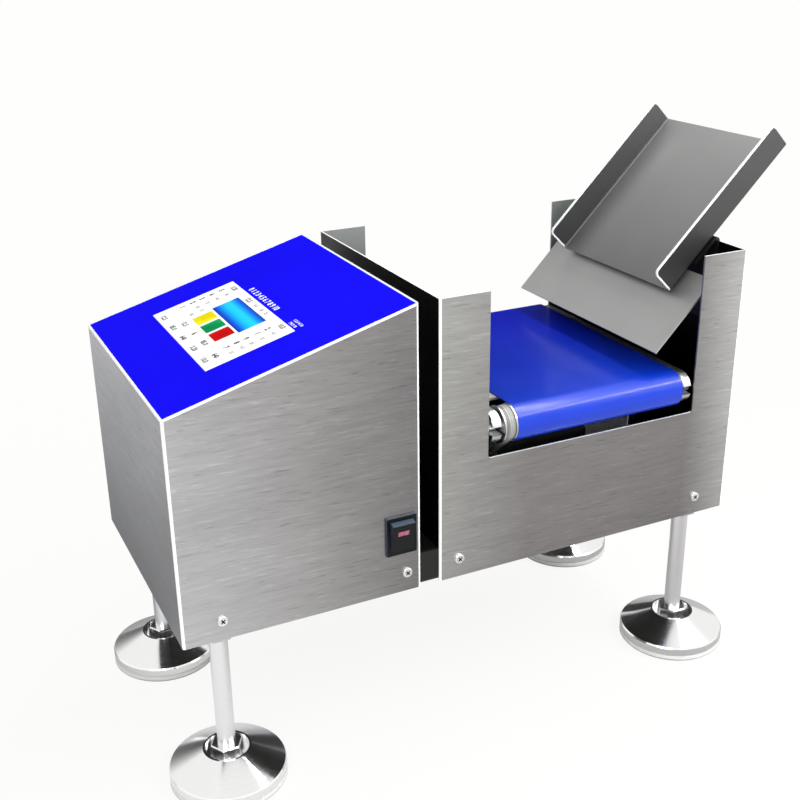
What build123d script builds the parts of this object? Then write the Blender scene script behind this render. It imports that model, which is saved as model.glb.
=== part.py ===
from build123d import *
from math import atan2, cos, pi, radians, sin, sqrt, tan
import os

os.makedirs("parts", exist_ok=True)

# Small belt check-weigher on four levelling feet.
# X runs from the operator's end to the feed end, Y from front to back, Z up from the floor.
# The origin is on the floor, under the middle of the whole machine.

# Overall sizes of the two boxes, in millimetres
body_depth = 220.0
control_length = 188.0
box_gap = 16.0
housing_length = 276.0
housing_height = 228.0
panel_low_height = 176.0
panel_high_height = 228.0
ground_clearance = 134.0
sheet = 1.5
fold_round = 2.0
wall_round = 1.4

# U-shaped openings in the front and back of the housing
post_width = 41.5
sill_drop = 21.0
notch_round = 3.0

# Feet
foot_inset_left = 31.0
foot_inset_right = 27.5
foot_inset_y = 20.0
cup_radius = 45.0
cup_rim_height = 12.5
cup_height = 26.0
pad_thickness = 5.0
stud_radius = 7.0
ball_radius = 8.0
ball_height = 14.0
hex_across_flats = 22.0
hex_height = 11.0
nut_height = 8.0
levelling_travel = 10.0

# Fits
running_clearance = 0.05
thread_clearance = 0.1
moving_gap = 0.3
tray_gap = 0.2

# Feed chute and guide plate
chute_slope = 45.0
chute_length = 153.0
chute_width = 155.0
chute_wall = 24.5
chute_corner = 5.0
chute_foot_inset = 46.8
chute_foot_height = 191.6
guide_slope = 45.7
guide_length = 75.0
guide_width = 204.5
guide_foot_inset = 77.5
guide_foot_height = 151.4
bracket_sheet = 2.5

# Weigh conveyor
notch_gap = 3.5
side_plate = 8.0
roller_height = 117.0
roller_span = 196.6
roller_radius = 13.3
roller_crown = 0.3
belt_thickness = 1.2
drive_space = 13.0
belt_edge_gap = 2.5
plate_end_radius = 13.0
axle_radius = 4.0
axle_flats = 6.8
slot_clearance = 0.1
bearing_radius = 11.0
bearing_width = 7.0

# Drive
pulley_teeth = 15
tooth_pitch = 5.0
tooth_depth = 1.2
flange_radius = 14.8
flange_thickness = 1.2
timing_belt_thickness = 2.2
motor_y = -50.0
motor_air = 6.3
gearbox_length = 28.0
can_step = 2.0
can_length = 62.0

# Weighing parts
cell_length = 130.0
cell_width = 30.0
cell_height = 22.0
cell_block_length = 35.0
cell_base_block_height = 8.0
cell_top_block_height = 8.0
platform_length = 130.0
platform_thickness = 6.0

# Derived places along X
chute_rise = radians(chute_slope)
chute_tip_overhang = chute_length * cos(chute_rise) - chute_foot_inset
body_length = control_length + box_gap + housing_length
cup_overhang = cup_radius - foot_inset_left
body_left = (cup_overhang - body_length - chute_tip_overhang) / 2
control_right = body_left + control_length
housing_left = control_right + box_gap
body_right = housing_left + housing_length
body_bottom = ground_clearance
housing_top = body_bottom + housing_height
sill_z = body_bottom + roller_height - sill_drop
front_y = -body_depth / 2

# BASE FRAME: a folded tray that both boxes are screwed to
tray_thickness = 3.0
tray_bend = 2.0
tray_flange = 28.0
tray_half = body_depth / 2 - sheet - tray_gap
tray_left = body_left + sheet + tray_gap
tray_right = body_right - sheet - tray_gap
tray_floor = body_bottom + tray_thickness
boss_radius = 12.5
boss_height = 14.0
casing_screw_height = 16.0
casing_screw_x = [
    body_left + 30.0,
    control_right - 12.0,
    housing_left + 17.0,
    body_right - 31.0,
]
casing_screw_radius = 2.0
screw_hole_radius = casing_screw_radius + thread_clearance
foot_x = [body_left + foot_inset_left, body_right - foot_inset_right]
foot_y = body_depth / 2 - foot_inset_y
foot_places = [(x, y) for x in foot_x for y in (-foot_y, foot_y)]


def folded_strip(points, bend, thickness, side):
    """Edge view of a folded sheet that follows the points, as a sketch."""
    with BuildSketch() as strip:
        with BuildLine():
            FilletPolyline(*points, radius=bend)
            offset(amount=thickness, side=side)
        make_face()
    return strip.sketch


# Drills for the casing screws, through the outer walls and the tray's flanges behind them
with BuildPart() as casing_screw_drills:
    with BuildSketch(Plane.XZ.offset(-front_y)):
        with Locations([(x, body_bottom + casing_screw_height) for x in casing_screw_x]):
            Circle(screw_hole_radius)
    extrude(amount=-(sheet + tray_gap + tray_thickness))
    mirror(about=Plane.XZ)

conveyor_x = (housing_left + body_right) / 2
conveyor_width = housing_length - 2 * post_width - 2 * notch_gap
plate_outer_left = conveyor_x - conveyor_width / 2
plate_outer_right = conveyor_x + conveyor_width / 2
plate_inner_left = plate_outer_left + side_plate
plate_inner_right = plate_outer_right - side_plate
inner_width = plate_inner_right - plate_inner_left
roller_z = body_bottom + roller_height
roller_y = roller_span / 2
cell_fixed_y = cell_length / 2 - cell_block_length / 2
cell_bolt_radius = 3.0
cell_bolt_spread = 15.0

with BuildPart() as base_frame:
    with BuildSketch(Plane.YZ.offset(tray_left)):
        add(folded_strip(
            [
                (-tray_half, body_bottom + tray_flange),
                (-tray_half, body_bottom),
                (tray_half, body_bottom),
                (tray_half, body_bottom + tray_flange),
            ],
            tray_bend + tray_thickness,
            tray_thickness,
            Side.LEFT,
        ))
    extrude(amount=tray_right - tray_left)
    for end_x in (tray_left, tray_right - tray_thickness):
        with BuildSketch(Plane.YZ.offset(end_x)):
            with Locations((0, body_bottom + tray_thickness + (tray_flange - tray_thickness) / 2)):
                Rectangle(2 * (tray_half - tray_thickness), tray_flange - tray_thickness)
        extrude(amount=tray_thickness)
    with BuildSketch(Plane.XY.offset(tray_floor)):
        with Locations(foot_places):
            Circle(boss_radius)
    extrude(amount=boss_height)
    with BuildSketch(Plane.XY.offset(body_bottom)):
        with Locations(foot_places):
            Circle(stud_radius + running_clearance)
    extrude(amount=tray_thickness + boss_height, mode=Mode.SUBTRACT)
    with BuildSketch(Plane.XY.offset(body_bottom)):
        with Locations([(conveyor_x, cell_fixed_y + dy / 2) for dy in (-cell_bolt_spread, cell_bolt_spread)]):
            Circle(cell_bolt_radius + thread_clearance)
    extrude(amount=tray_thickness, mode=Mode.SUBTRACT)
    add(casing_screw_drills.part, mode=Mode.SUBTRACT)
base_frame.part.label = "base_frame"
export_step(base_frame.part, "parts/base_frame.step")

# LEVELLING FEET: a threaded stud with a hexagon and a ball end, a polished steel cup
# that swivels on the ball, and a non-slip pad set under the cup
recess_radius = 17.0
recess_floor = 17.0
cup_boss_radius = 24.5
cup_boss_clearance = 1.5
pad_fit = 0.3
hex_bottom = 19.5
neck_radius = 6.0
stud_chamfer = 1.0
hex_chamfer = 0.8
rim_chamfer = 1.0
recess_lip = 1.5
socket_mouth_slope = -35
stud_top = tray_floor + boss_height + levelling_travel
socket_radius = ball_radius + moving_gap
socket_point = (
    socket_radius * cos(radians(socket_mouth_slope)),
    ball_height + socket_radius * sin(radians(socket_mouth_slope)),
)
corner_names = ["front_left", "back_left", "front_right", "back_right"]

for corner, (x, y) in zip(corner_names, foot_places):
    upright = Plane(origin=(x, y, 0), x_dir=(1, 0, 0), z_dir=(0, -1, 0))
    spindle = Axis((x, y, 0), (0, 0, 1))

    with BuildPart() as foot_stud:
        with BuildSketch(upright):
            with BuildLine():
                Line((0, stud_top), (0, ball_height - ball_radius))
                neck_meets_ball = ball_height + sqrt(ball_radius**2 - neck_radius**2)
                ThreePointArc(
                    (0, ball_height - ball_radius),
                    (ball_radius, ball_height),
                    (neck_radius, neck_meets_ball),
                )
                Polyline(
                    (neck_radius, neck_meets_ball),
                    (neck_radius, hex_bottom + stud_chamfer),
                    (stud_radius, hex_bottom + stud_chamfer),
                    (stud_radius, stud_top - stud_chamfer),
                    (stud_radius - stud_chamfer, stud_top),
                    (0, stud_top),
                )
            make_face()
        revolve(axis=spindle)
        with BuildSketch(Plane((x, y, hex_bottom))):
            RegularPolygon(hex_across_flats / 2, 6, major_radius=False)
        extrude(amount=hex_height)
        chamfer(foot_stud.faces().filter_by(Axis.Z).sort_by(Axis.Z)[-2].outer_wire().edges(), hex_chamfer)
    foot_stud.part.label = f"foot_stud_{corner}"
    export_step(foot_stud.part, f"parts/foot_stud_{corner}.step")

    with BuildPart() as foot_cup:
        with BuildSketch(upright):
            with BuildLine():
                mouth = sqrt(socket_radius**2 - (recess_floor - ball_height) ** 2)
                Polyline(
                    (0, cup_boss_clearance),
                    (cup_boss_radius, cup_boss_clearance),
                    (cup_boss_radius, pad_thickness),
                    (cup_radius, pad_thickness),
                    (cup_radius, cup_rim_height),
                    (recess_radius + recess_lip, cup_height),
                    (recess_radius, cup_height),
                    (recess_radius, recess_floor),
                    (mouth, recess_floor),
                )
                ThreePointArc(
                    (mouth, recess_floor),
                    socket_point,
                    (0, ball_height - socket_radius),
                )
                Line((0, ball_height - socket_radius), (0, cup_boss_clearance))
            make_face()
        revolve(axis=spindle)
        rim = foot_cup.edges().filter_by(GeomType.CIRCLE).sort_by(SortBy.RADIUS)[-2:]
        chamfer(rim, rim_chamfer)
    foot_cup.part.label = f"foot_cup_{corner}"
    export_step(foot_cup.part, f"parts/foot_cup_{corner}.step")

    with BuildPart() as foot_pad:
        with BuildSketch(upright):
            with BuildLine():
                Polyline(
                    (cup_boss_radius + pad_fit, 0),
                    (cup_radius - rim_chamfer, 0),
                    (cup_radius, rim_chamfer),
                    (cup_radius, pad_thickness),
                    (cup_boss_radius + pad_fit, pad_thickness),
                    close=True,
                )
            make_face()
        revolve(axis=spindle)
    foot_pad.part.label = f"foot_pad_{corner}"
    export_step(foot_pad.part, f"parts/foot_pad_{corner}.step")

with BuildPart() as foot_lock_nuts:
    with BuildSketch(Plane.XY.offset(body_bottom - nut_height)):
        with Locations(foot_places):
            RegularPolygon(hex_across_flats / 2, 6, major_radius=False)
            Circle(stud_radius + thread_clearance, mode=Mode.SUBTRACT)
    extrude(amount=nut_height)
    chamfer(foot_lock_nuts.faces().filter_by(Axis.Z).sort_by(Axis.Z)[0:4].edges().filter_by(GeomType.LINE), hex_chamfer)
foot_lock_nuts.part.label = "foot_lock_nuts"
export_step(foot_lock_nuts.part, "parts/foot_lock_nuts.step")

# CONTROL BOX: a wedge of folded stainless sheet whose sloping top holds the display
control_middle = (body_left + control_right) / 2
panel_slope = atan2(panel_high_height - panel_low_height, control_length)
panel_middle_height = body_bottom + (panel_low_height + panel_high_height) / 2
panel_plane = Plane(
    origin=(control_middle, 0, panel_middle_height),
    x_dir=(cos(panel_slope), 0, sin(panel_slope)),
    z_dir=(-sin(panel_slope), 0, cos(panel_slope)),
)
panel_thickness = 2.0
overlay_thickness = 0.5
panel_gap = 0.3
ledge_width = 10.0
panel_length = control_length / cos(panel_slope)
panel_width = body_depth - 2 * sheet - 2 * panel_gap
panel_stack = panel_thickness + overlay_thickness

screen_place = (-16.7, 2.0)
screen_size = (70.0, 139.0)
screen_fit = 0.3
screen_back = (84.0, 158.0, 14.0)
screen_back_chamfer = 2.0

switch_x = body_left + 171.2
switch_z = body_bottom + 49.6
bezel_size = (25.5, 32.5)
bezel_thickness = 2.0
switch_body_size = (22.0, 28.4)
switch_fit = 0.2
bezel_round = 1.5
bezel_chamfer = 0.6

inlet_x = body_left + 44.0
inlet_z = body_bottom + 58.0
inlet_body_size = (27.0, 20.0)
inlet_fit = 0.2

tie_opening = tray_flange + moving_gap


def wedge(left, right, drop, rise):
    """Outline of the control box from the side, pulled down by drop and up by rise."""
    low = body_bottom + panel_low_height + (left - body_left) * tan(panel_slope)
    high = body_bottom + panel_high_height - (control_right - right) * tan(panel_slope)
    Polyline(
        (left, body_bottom - drop),
        (right, body_bottom - drop),
        (right, high + rise),
        (left, low + rise),
        close=True,
    )


with BuildPart() as control_casing:
    with BuildSketch(Plane.XZ):
        with BuildLine():
            wedge(body_left, control_right, 0, 0)
        make_face()
    extrude(amount=body_depth / 2, both=True)
    fillet(control_casing.edges().filter_by(Axis.Z), fold_round)
    with BuildSketch(Plane.XZ):
        with BuildLine():
            wedge(body_left + sheet, control_right - sheet, sheet, sheet)
        make_face()
    extrude(amount=body_depth / 2 - sheet, both=True, mode=Mode.SUBTRACT)
    # Folded ledge that the sloping panel rests on
    with BuildSketch(panel_plane.offset(-panel_stack)):
        Rectangle(panel_length - 2 * sheet, body_depth - 2 * sheet)
        Rectangle(panel_length - 2 * ledge_width, panel_width - 2 * ledge_width, mode=Mode.SUBTRACT)
    extrude(amount=-sheet)
    # Way through for the base frame, under the wall that faces the housing
    with BuildSketch(Plane.YZ.offset(control_right - 2 * sheet)):
        with Locations((0, body_bottom + tie_opening / 2)):
            Rectangle(2 * tray_half, tie_opening)
    extrude(amount=3 * sheet, mode=Mode.SUBTRACT)
    with BuildSketch(Plane.XZ.offset(-front_y)):
        with Locations((switch_x, switch_z)):
            Rectangle(switch_body_size[0] + 2 * switch_fit, switch_body_size[1] + 2 * switch_fit)
    extrude(amount=-sheet, mode=Mode.SUBTRACT)
    with BuildSketch(Plane.XZ.offset(front_y)):
        with Locations((inlet_x, inlet_z)):
            Rectangle(inlet_body_size[0] + 2 * inlet_fit, inlet_body_size[1] + 2 * inlet_fit)
    extrude(amount=sheet, mode=Mode.SUBTRACT)
    add(casing_screw_drills.part, mode=Mode.SUBTRACT)
control_casing.part.label = "control_casing"
export_step(control_casing.part, "parts/control_casing.step")

# Upright prism that trims the sloping plate and film flush with the walls round them
with BuildPart() as panel_trim:
    with BuildSketch(Plane.XY.offset(body_bottom)):
        with Locations((control_middle, 0)):
            Rectangle(control_length - 2 * sheet - 2 * panel_gap, panel_width)
    extrude(amount=panel_high_height)

with BuildPart() as control_panel:
    with BuildSketch(panel_plane.offset(-panel_stack)):
        Rectangle(panel_length, panel_width)
        with Locations(screen_place):
            Rectangle(*screen_size, mode=Mode.SUBTRACT)
    extrude(amount=panel_thickness)
    add(panel_trim.part, mode=Mode.INTERSECT)
control_panel.part.label = "control_panel"
export_step(control_panel.part, "parts/control_panel.step")

with BuildPart() as panel_overlay:
    with BuildSketch(panel_plane.offset(-overlay_thickness)):
        Rectangle(panel_length, panel_width)
        with Locations(screen_place):
            Rectangle(*screen_size, mode=Mode.SUBTRACT)
    extrude(amount=overlay_thickness)
    add(panel_trim.part, mode=Mode.INTERSECT)
panel_overlay.part.label = "panel_overlay"
export_step(panel_overlay.part, "parts/panel_overlay.step")

with BuildPart() as touch_screen:
    with BuildSketch(panel_plane):
        with Locations(screen_place):
            Rectangle(screen_size[0] - 2 * screen_fit, screen_size[1] - 2 * screen_fit)
    extrude(amount=-panel_stack)
    with BuildSketch(panel_plane.offset(-panel_stack)):
        with Locations(screen_place):
            Rectangle(screen_back[0], screen_back[1])
    extrude(amount=-screen_back[2])
    chamfer(touch_screen.faces().sort_by(SortBy.AREA)[-1].edges(), screen_back_chamfer)
touch_screen.part.label = "touch_screen"
export_step(touch_screen.part, "parts/touch_screen.step")

# Electronics that stand on the tray inside the control box
board_size = (110.0, 76.0, 1.6)
board_place = (control_middle + 14.0, -24.0)
standoff_height = 10.0
standoff_radius = 3.0
standoff_inset = 5.0
board_z = tray_floor + standoff_height
terminal_size = (9.5, 10.0, 11.0)
terminal_pitch = 10.5
terminal_count = 8
terminal_inset = 6.0
processor_size = (22.0, 22.0, 2.0)
processor_place = (board_place[0] - 26.0, board_place[1] + 8.0)
relay_size = (19.0, 15.0, 15.0)
relay_pitch = 21.0
relay_place = (board_place[0] + 24.0, board_place[1] + 12.0)
supply_size = (99.0, 50.0, 34.0)
supply_place = (control_middle + 14.0, 50.0)
vent_size = (3.5, 36.0, 1.2)
vent_pitch = 9.0
vent_count = 9
board_corners = [
    (
        board_place[0] + i * (board_size[0] / 2 - standoff_inset),
        board_place[1] + j * (board_size[1] / 2 - standoff_inset),
    )
    for i in (-1, 1)
    for j in (-1, 1)
]

with BuildPart() as board_standoffs:
    with BuildSketch(Plane.XY.offset(tray_floor)):
        with Locations(board_corners):
            RegularPolygon(standoff_radius, 6, major_radius=False)
    extrude(amount=standoff_height)
board_standoffs.part.label = "board_standoffs"
export_step(board_standoffs.part, "parts/board_standoffs.step")

with BuildPart() as controller_board:
    with BuildSketch(Plane.XY.offset(board_z)):
        with Locations(board_place):
            Rectangle(board_size[0], board_size[1])
    extrude(amount=board_size[2])
    # Terminal row along the front edge, then the processor and the two relays
    with BuildSketch(Plane.XY.offset(board_z + board_size[2])):
        with Locations((board_place[0], board_place[1] - board_size[1] / 2 + terminal_inset)):
            with GridLocations(terminal_pitch, 0, terminal_count, 1):
                Rectangle(terminal_size[0], terminal_size[1])
    extrude(amount=terminal_size[2])
    with BuildSketch(Plane.XY.offset(board_z + board_size[2])):
        with Locations(processor_place):
            Rectangle(processor_size[0], processor_size[1])
    extrude(amount=processor_size[2])
    with BuildSketch(Plane.XY.offset(board_z + board_size[2])):
        with Locations(relay_place):
            with GridLocations(relay_pitch, 0, 2, 1):
                Rectangle(relay_size[0], relay_size[1])
    extrude(amount=relay_size[2])
controller_board.part.label = "controller_board"
export_step(controller_board.part, "parts/controller_board.step")

with BuildPart() as power_supply:
    with BuildSketch(Plane.XY.offset(tray_floor)):
        with Locations(supply_place):
            Rectangle(supply_size[0], supply_size[1])
    extrude(amount=supply_size[2])
    with BuildSketch(Plane.XY.offset(tray_floor + supply_size[2])):
        with Locations(supply_place):
            with GridLocations(vent_pitch, 0, vent_count, 1):
                Rectangle(vent_size[0], vent_size[1])
    extrude(amount=-vent_size[2], mode=Mode.SUBTRACT)
power_supply.part.label = "power_supply"
export_step(power_supply.part, "parts/power_supply.step")

# ROCKER SWITCH: bezel and body in the front wall, a rocker that tips over, a lamp window
rocker_size = (18.4, 24.6)
rocker_fit = 0.3
rocker_out = 5.5
rocker_in = 1.0
rocker_back = 3.0
switch_depth = 20.0
cavity_depth = 8.0
pivot_depth = 0.5
pivot_y = front_y - bezel_thickness + pivot_depth
rocker_reach = rocker_size[1] / 2
rocker_out_z = sqrt(rocker_reach**2 - rocker_out**2)
rocker_in_z = sqrt(rocker_reach**2 - rocker_in**2)
rocker_back_z = sqrt(rocker_reach**2 - rocker_back**2)
lamp_size = (9.0, 4.0, 0.8)
lamp_drop = 0.33
terminal_blade = (0.8, 4.8, 8.0)
terminal_blade_spread = (11.0, 13.0)

with BuildPart() as switch_body:
    with BuildSketch(Plane.XZ.offset(-front_y)):
        with Locations((switch_x, switch_z)):
            RectangleRounded(*bezel_size, bezel_round)
    extrude(amount=bezel_thickness)
    chamfer(switch_body.faces().sort_by(Axis.Y)[0].edges(), bezel_chamfer)
    with BuildSketch(Plane.XZ.offset(-front_y)):
        with Locations((switch_x, switch_z)):
            Rectangle(*switch_body_size)
    extrude(amount=-switch_depth)
    with BuildSketch(Plane.XZ.offset(-front_y + bezel_thickness)):
        with Locations((switch_x, switch_z)):
            Rectangle(rocker_size[0] + 2 * rocker_fit, rocker_size[1] + 2 * rocker_fit)
    extrude(amount=-cavity_depth - bezel_thickness, mode=Mode.SUBTRACT)
    # Four push-on terminals behind the body
    with BuildSketch(Plane.XZ.offset(-front_y - switch_depth)):
        with Locations((switch_x, switch_z)):
            with GridLocations(*terminal_blade_spread, 2, 2):
                Rectangle(terminal_blade[0], terminal_blade[1])
    extrude(amount=-terminal_blade[2])
switch_body.part.label = "switch_body"
export_step(switch_body.part, "parts/switch_body.step")

face_tilt = atan2(rocker_out - rocker_in, rocker_out_z + rocker_in_z)
lamp_plane = Plane(
    origin=(
        switch_x,
        pivot_y - rocker_out + lamp_drop * (rocker_out - rocker_in),
        switch_z + rocker_out_z - lamp_drop * (rocker_out_z + rocker_in_z),
    ),
    x_dir=(1, 0, 0),
    z_dir=(0, -cos(face_tilt), -sin(face_tilt)),
)

with BuildPart() as switch_rocker:
    with BuildSketch(Plane.YZ.offset(switch_x)):
        with BuildLine():
            Line(
                (pivot_y - rocker_out, switch_z + rocker_out_z),
                (pivot_y - rocker_in, switch_z - rocker_in_z),
            )
            ThreePointArc(
                (pivot_y - rocker_in, switch_z - rocker_in_z),
                (pivot_y, switch_z - rocker_reach),
                (pivot_y + rocker_back, switch_z - rocker_back_z),
            )
            Line(
                (pivot_y + rocker_back, switch_z - rocker_back_z),
                (pivot_y + rocker_back, switch_z + rocker_back_z),
            )
            ThreePointArc(
                (pivot_y + rocker_back, switch_z + rocker_back_z),
                (pivot_y, switch_z + rocker_reach),
                (pivot_y - rocker_out, switch_z + rocker_out_z),
            )
        make_face()
    extrude(amount=rocker_size[0] / 2, both=True)
    with BuildSketch(lamp_plane):
        Rectangle(lamp_size[0], lamp_size[1])
    extrude(amount=-lamp_size[2], mode=Mode.SUBTRACT)
switch_rocker.part.label = "switch_rocker"
export_step(switch_rocker.part, "parts/switch_rocker.step")

with BuildPart() as switch_lamp:
    with BuildSketch(lamp_plane.offset(-lamp_size[2])):
        Rectangle(lamp_size[0], lamp_size[1])
    extrude(amount=lamp_size[2])
switch_lamp.part.label = "switch_lamp"
export_step(switch_lamp.part, "parts/switch_lamp.step")

# MAINS INLET in the back wall, with its three blades
inlet_flange = (31.0, 24.0)
inlet_flange_thickness = 2.5
inlet_cavity = (24.0, 16.5)
inlet_cavity_depth = 17.0
blade_size = (2.0, 4.0, 11.0)
blade_spread = 7.0
blade_offset = 2.0
inlet_back = 24.0
inlet_corner = 4.5
inlet_flange_round = 2.0

with BuildPart() as mains_inlet:
    with BuildSketch(Plane.XZ.offset(front_y)):
        with Locations((inlet_x, inlet_z)):
            RectangleRounded(*inlet_flange, inlet_flange_round)
    extrude(amount=-inlet_flange_thickness)
    with BuildSketch(Plane.XZ.offset(front_y)):
        with Locations((inlet_x, inlet_z)):
            Rectangle(*inlet_body_size)
    extrude(amount=inlet_back)
    with BuildSketch(Plane.XZ.offset(front_y - inlet_flange_thickness)):
        with Locations((inlet_x, inlet_z)):
            Rectangle(*inlet_cavity)
        chamfer(vertices().group_by(Axis.Y)[-1], inlet_corner)
    extrude(amount=inlet_cavity_depth, mode=Mode.SUBTRACT)
    with BuildSketch(Plane.XZ.offset(front_y - inlet_flange_thickness + inlet_cavity_depth)):
        with Locations(
            (inlet_x - blade_spread, inlet_z - blade_offset),
            (inlet_x + blade_spread, inlet_z - blade_offset),
            (inlet_x, inlet_z + blade_offset),
        ):
            Rectangle(blade_size[0], blade_size[1])
    extrude(amount=-blade_size[2])
mains_inlet.part.label = "mains_inlet"
export_step(mains_inlet.part, "parts/mains_inlet.step")

# HOUSING of the weigh conveyor: four sheet walls, open above, notched front and back
notch_left = housing_left + post_width
notch_right = body_right - post_width


def notched_outline():
    """A full-width wall with the U-shaped notch that the belt shows through."""
    with BuildSketch() as outline:
        with BuildLine():
            Polyline(
                (housing_left, body_bottom),
                (body_right, body_bottom),
                (body_right, housing_top),
                (notch_right, housing_top),
                (notch_right, sill_z),
                (notch_left, sill_z),
                (notch_left, housing_top),
                (housing_left, housing_top),
                close=True,
            )
        make_face()
        corners = [v for v in outline.vertices() if abs(v.Y - sill_z) < 0.01]
        fillet(corners, notch_round)
    return outline.sketch


with BuildPart() as housing_front_wall:
    with BuildSketch(Plane.XZ.offset(-front_y)):
        add(notched_outline())
    extrude(amount=-sheet)
    add(casing_screw_drills.part, mode=Mode.SUBTRACT)
    outer_edges = housing_front_wall.edges().filter_by(Axis.Z).group_by(Axis.Y)[0]
    fillet([outer_edges.sort_by(Axis.X)[0], outer_edges.sort_by(Axis.X)[-1]], wall_round)
housing_front_wall.part.label = "housing_front_wall"
export_step(housing_front_wall.part, "parts/housing_front_wall.step")

with BuildPart() as housing_back_wall:
    with BuildSketch(Plane.XZ.offset(front_y)):
        add(notched_outline())
    extrude(amount=sheet)
    add(casing_screw_drills.part, mode=Mode.SUBTRACT)
    outer_edges = housing_back_wall.edges().filter_by(Axis.Z).group_by(Axis.Y)[-1]
    fillet([outer_edges.sort_by(Axis.X)[0], outer_edges.sort_by(Axis.X)[-1]], wall_round)
housing_back_wall.part.label = "housing_back_wall"
export_step(housing_back_wall.part, "parts/housing_back_wall.step")

with BuildPart() as housing_left_wall:
    with BuildSketch(Plane.YZ.offset(housing_left)):
        with Locations((0, (body_bottom + housing_top) / 2)):
            Rectangle(body_depth - 2 * sheet, housing_height)
        with Locations((0, body_bottom + tie_opening / 2)):
            Rectangle(2 * tray_half, tie_opening, mode=Mode.SUBTRACT)
    extrude(amount=sheet)
housing_left_wall.part.label = "housing_left_wall"
export_step(housing_left_wall.part, "parts/housing_left_wall.step")

# Screws that hold the chute and guide brackets, through the right wall
bracket_screw_radius = 2.5
bracket_head_radius = 4.5
bracket_head_height = 2.5
bracket_screw_spread = 56.0
chute_bracket_screw_z = body_bottom + 176.0
guide_bracket_screw_z = body_bottom + 196.0
guide_bracket_width = 80.0
guide_bracket_screw_spread = 50.0
right_inner_x = body_right - sheet
bracket_screw_places = [
    (-bracket_screw_spread, chute_bracket_screw_z),
    (bracket_screw_spread, chute_bracket_screw_z),
    (-guide_bracket_screw_spread / 2, guide_bracket_screw_z),
    (guide_bracket_screw_spread / 2, guide_bracket_screw_z),
]

with BuildPart() as bracket_screw_drills:
    with BuildSketch(Plane.YZ.offset(body_right)):
        with Locations(bracket_screw_places):
            Circle(bracket_screw_radius + thread_clearance)
    extrude(amount=-(sheet + 2 * bracket_sheet))

with BuildPart() as housing_right_wall:
    with BuildSketch(Plane.YZ.offset(right_inner_x)):
        with Locations((0, (body_bottom + housing_top) / 2)):
            Rectangle(body_depth - 2 * sheet, housing_height)
    extrude(amount=sheet)
    add(bracket_screw_drills.part, mode=Mode.SUBTRACT)
housing_right_wall.part.label = "housing_right_wall"
export_step(housing_right_wall.part, "parts/housing_right_wall.step")

# Pan-head screws that hold both boxes to the tray, four in front and four behind
pan_head_radius = 4.0
pan_head_height = 2.2
pan_head_chamfer = 1.0
screw_end = 2.0
casing_screw_length = sheet + tray_gap + tray_thickness + screw_end

with BuildPart() as casing_screws:
    for face_y, outward in ((front_y, -1), (-front_y, 1)):
        with BuildSketch(Plane.XZ.offset(-face_y)):
            with Locations([(x, body_bottom + casing_screw_height) for x in casing_screw_x]):
                Circle(pan_head_radius)
        extrude(amount=-outward * pan_head_height)
        with BuildSketch(Plane.XZ.offset(-face_y)):
            with Locations([(x, body_bottom + casing_screw_height) for x in casing_screw_x]):
                Circle(casing_screw_radius)
        extrude(amount=outward * casing_screw_length)
    crowns = casing_screws.edges().filter_by(GeomType.CIRCLE).group_by(Axis.Y)
    chamfer([*crowns[0], *crowns[-1]], pan_head_chamfer)
casing_screws.part.label = "casing_screws"
export_step(casing_screws.part, "parts/casing_screws.step")

# FEED CHUTE: a folded channel that lies at a slope across the top of the right wall
chute_foot = Plane(
    origin=(body_right - chute_foot_inset, 0, body_bottom + chute_foot_height),
    x_dir=(0, 1, 0),
    z_dir=(cos(chute_rise), 0, sin(chute_rise)),
)
chute_bend = 1.5

with BuildPart() as chute:
    with BuildSketch(chute_foot):
        add(folded_strip(
            [
                (-chute_width / 2, chute_wall),
                (-chute_width / 2, 0),
                (chute_width / 2, 0),
                (chute_width / 2, chute_wall),
            ],
            chute_bend + sheet,
            sheet,
            Side.LEFT,
        ))
    extrude(amount=chute_length)
    wall_corners = [
        e
        for e in chute.edges().filter_by(Axis.Y)
        if (e.center() - chute_foot.origin).dot(chute_foot.y_dir) > chute_wall - 0.01
    ]
    fillet(wall_corners, chute_corner)
chute.part.label = "chute"
export_step(chute.part, "parts/chute.step")

# GUIDE PLATE: a flat sheet under the chute that slides the food onto the belt
guide_rise = radians(guide_slope)
guide_foot = Vector(body_right - guide_foot_inset, 0, body_bottom + guide_foot_height)
guide_plane = Plane(
    origin=guide_foot,
    x_dir=(cos(guide_rise), 0, sin(guide_rise)),
    z_dir=(-sin(guide_rise), 0, cos(guide_rise)),
)

with BuildPart() as guide_plate:
    with BuildSketch(guide_plane):
        with Locations((guide_length / 2, 0)):
            Rectangle(guide_length, guide_width)
    extrude(amount=-sheet)
guide_plate.part.label = "guide_plate"
export_step(guide_plate.part, "parts/guide_plate.step")

# BRACKETS: each is one folded strip, screwed to the right wall and welded under its sheet
chute_bracket_width = 158.0
chute_bracket_foot_z = body_bottom + 160.0
chute_flange = 34.0
guide_bracket_foot_z = body_bottom + 182.0
guide_flange_overlap = 24.0
bracket_bend = 1.0


def height_on_slope(start, slope, x):
    """Height at x of a line that climbs from start at the slope."""
    return start.Z + (x - start.X) * tan(slope)


chute_bracket_top = height_on_slope(chute_foot.origin, chute_rise, right_inner_x)
guide_wall_x = right_inner_x - bracket_sheet
guide_under = guide_foot + Vector(sin(guide_rise), 0, -cos(guide_rise)) * sheet
guide_bracket_top = height_on_slope(guide_under, guide_rise, guide_wall_x)
guide_flange_x = guide_under.X + (guide_length - guide_flange_overlap) * cos(guide_rise)

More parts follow.
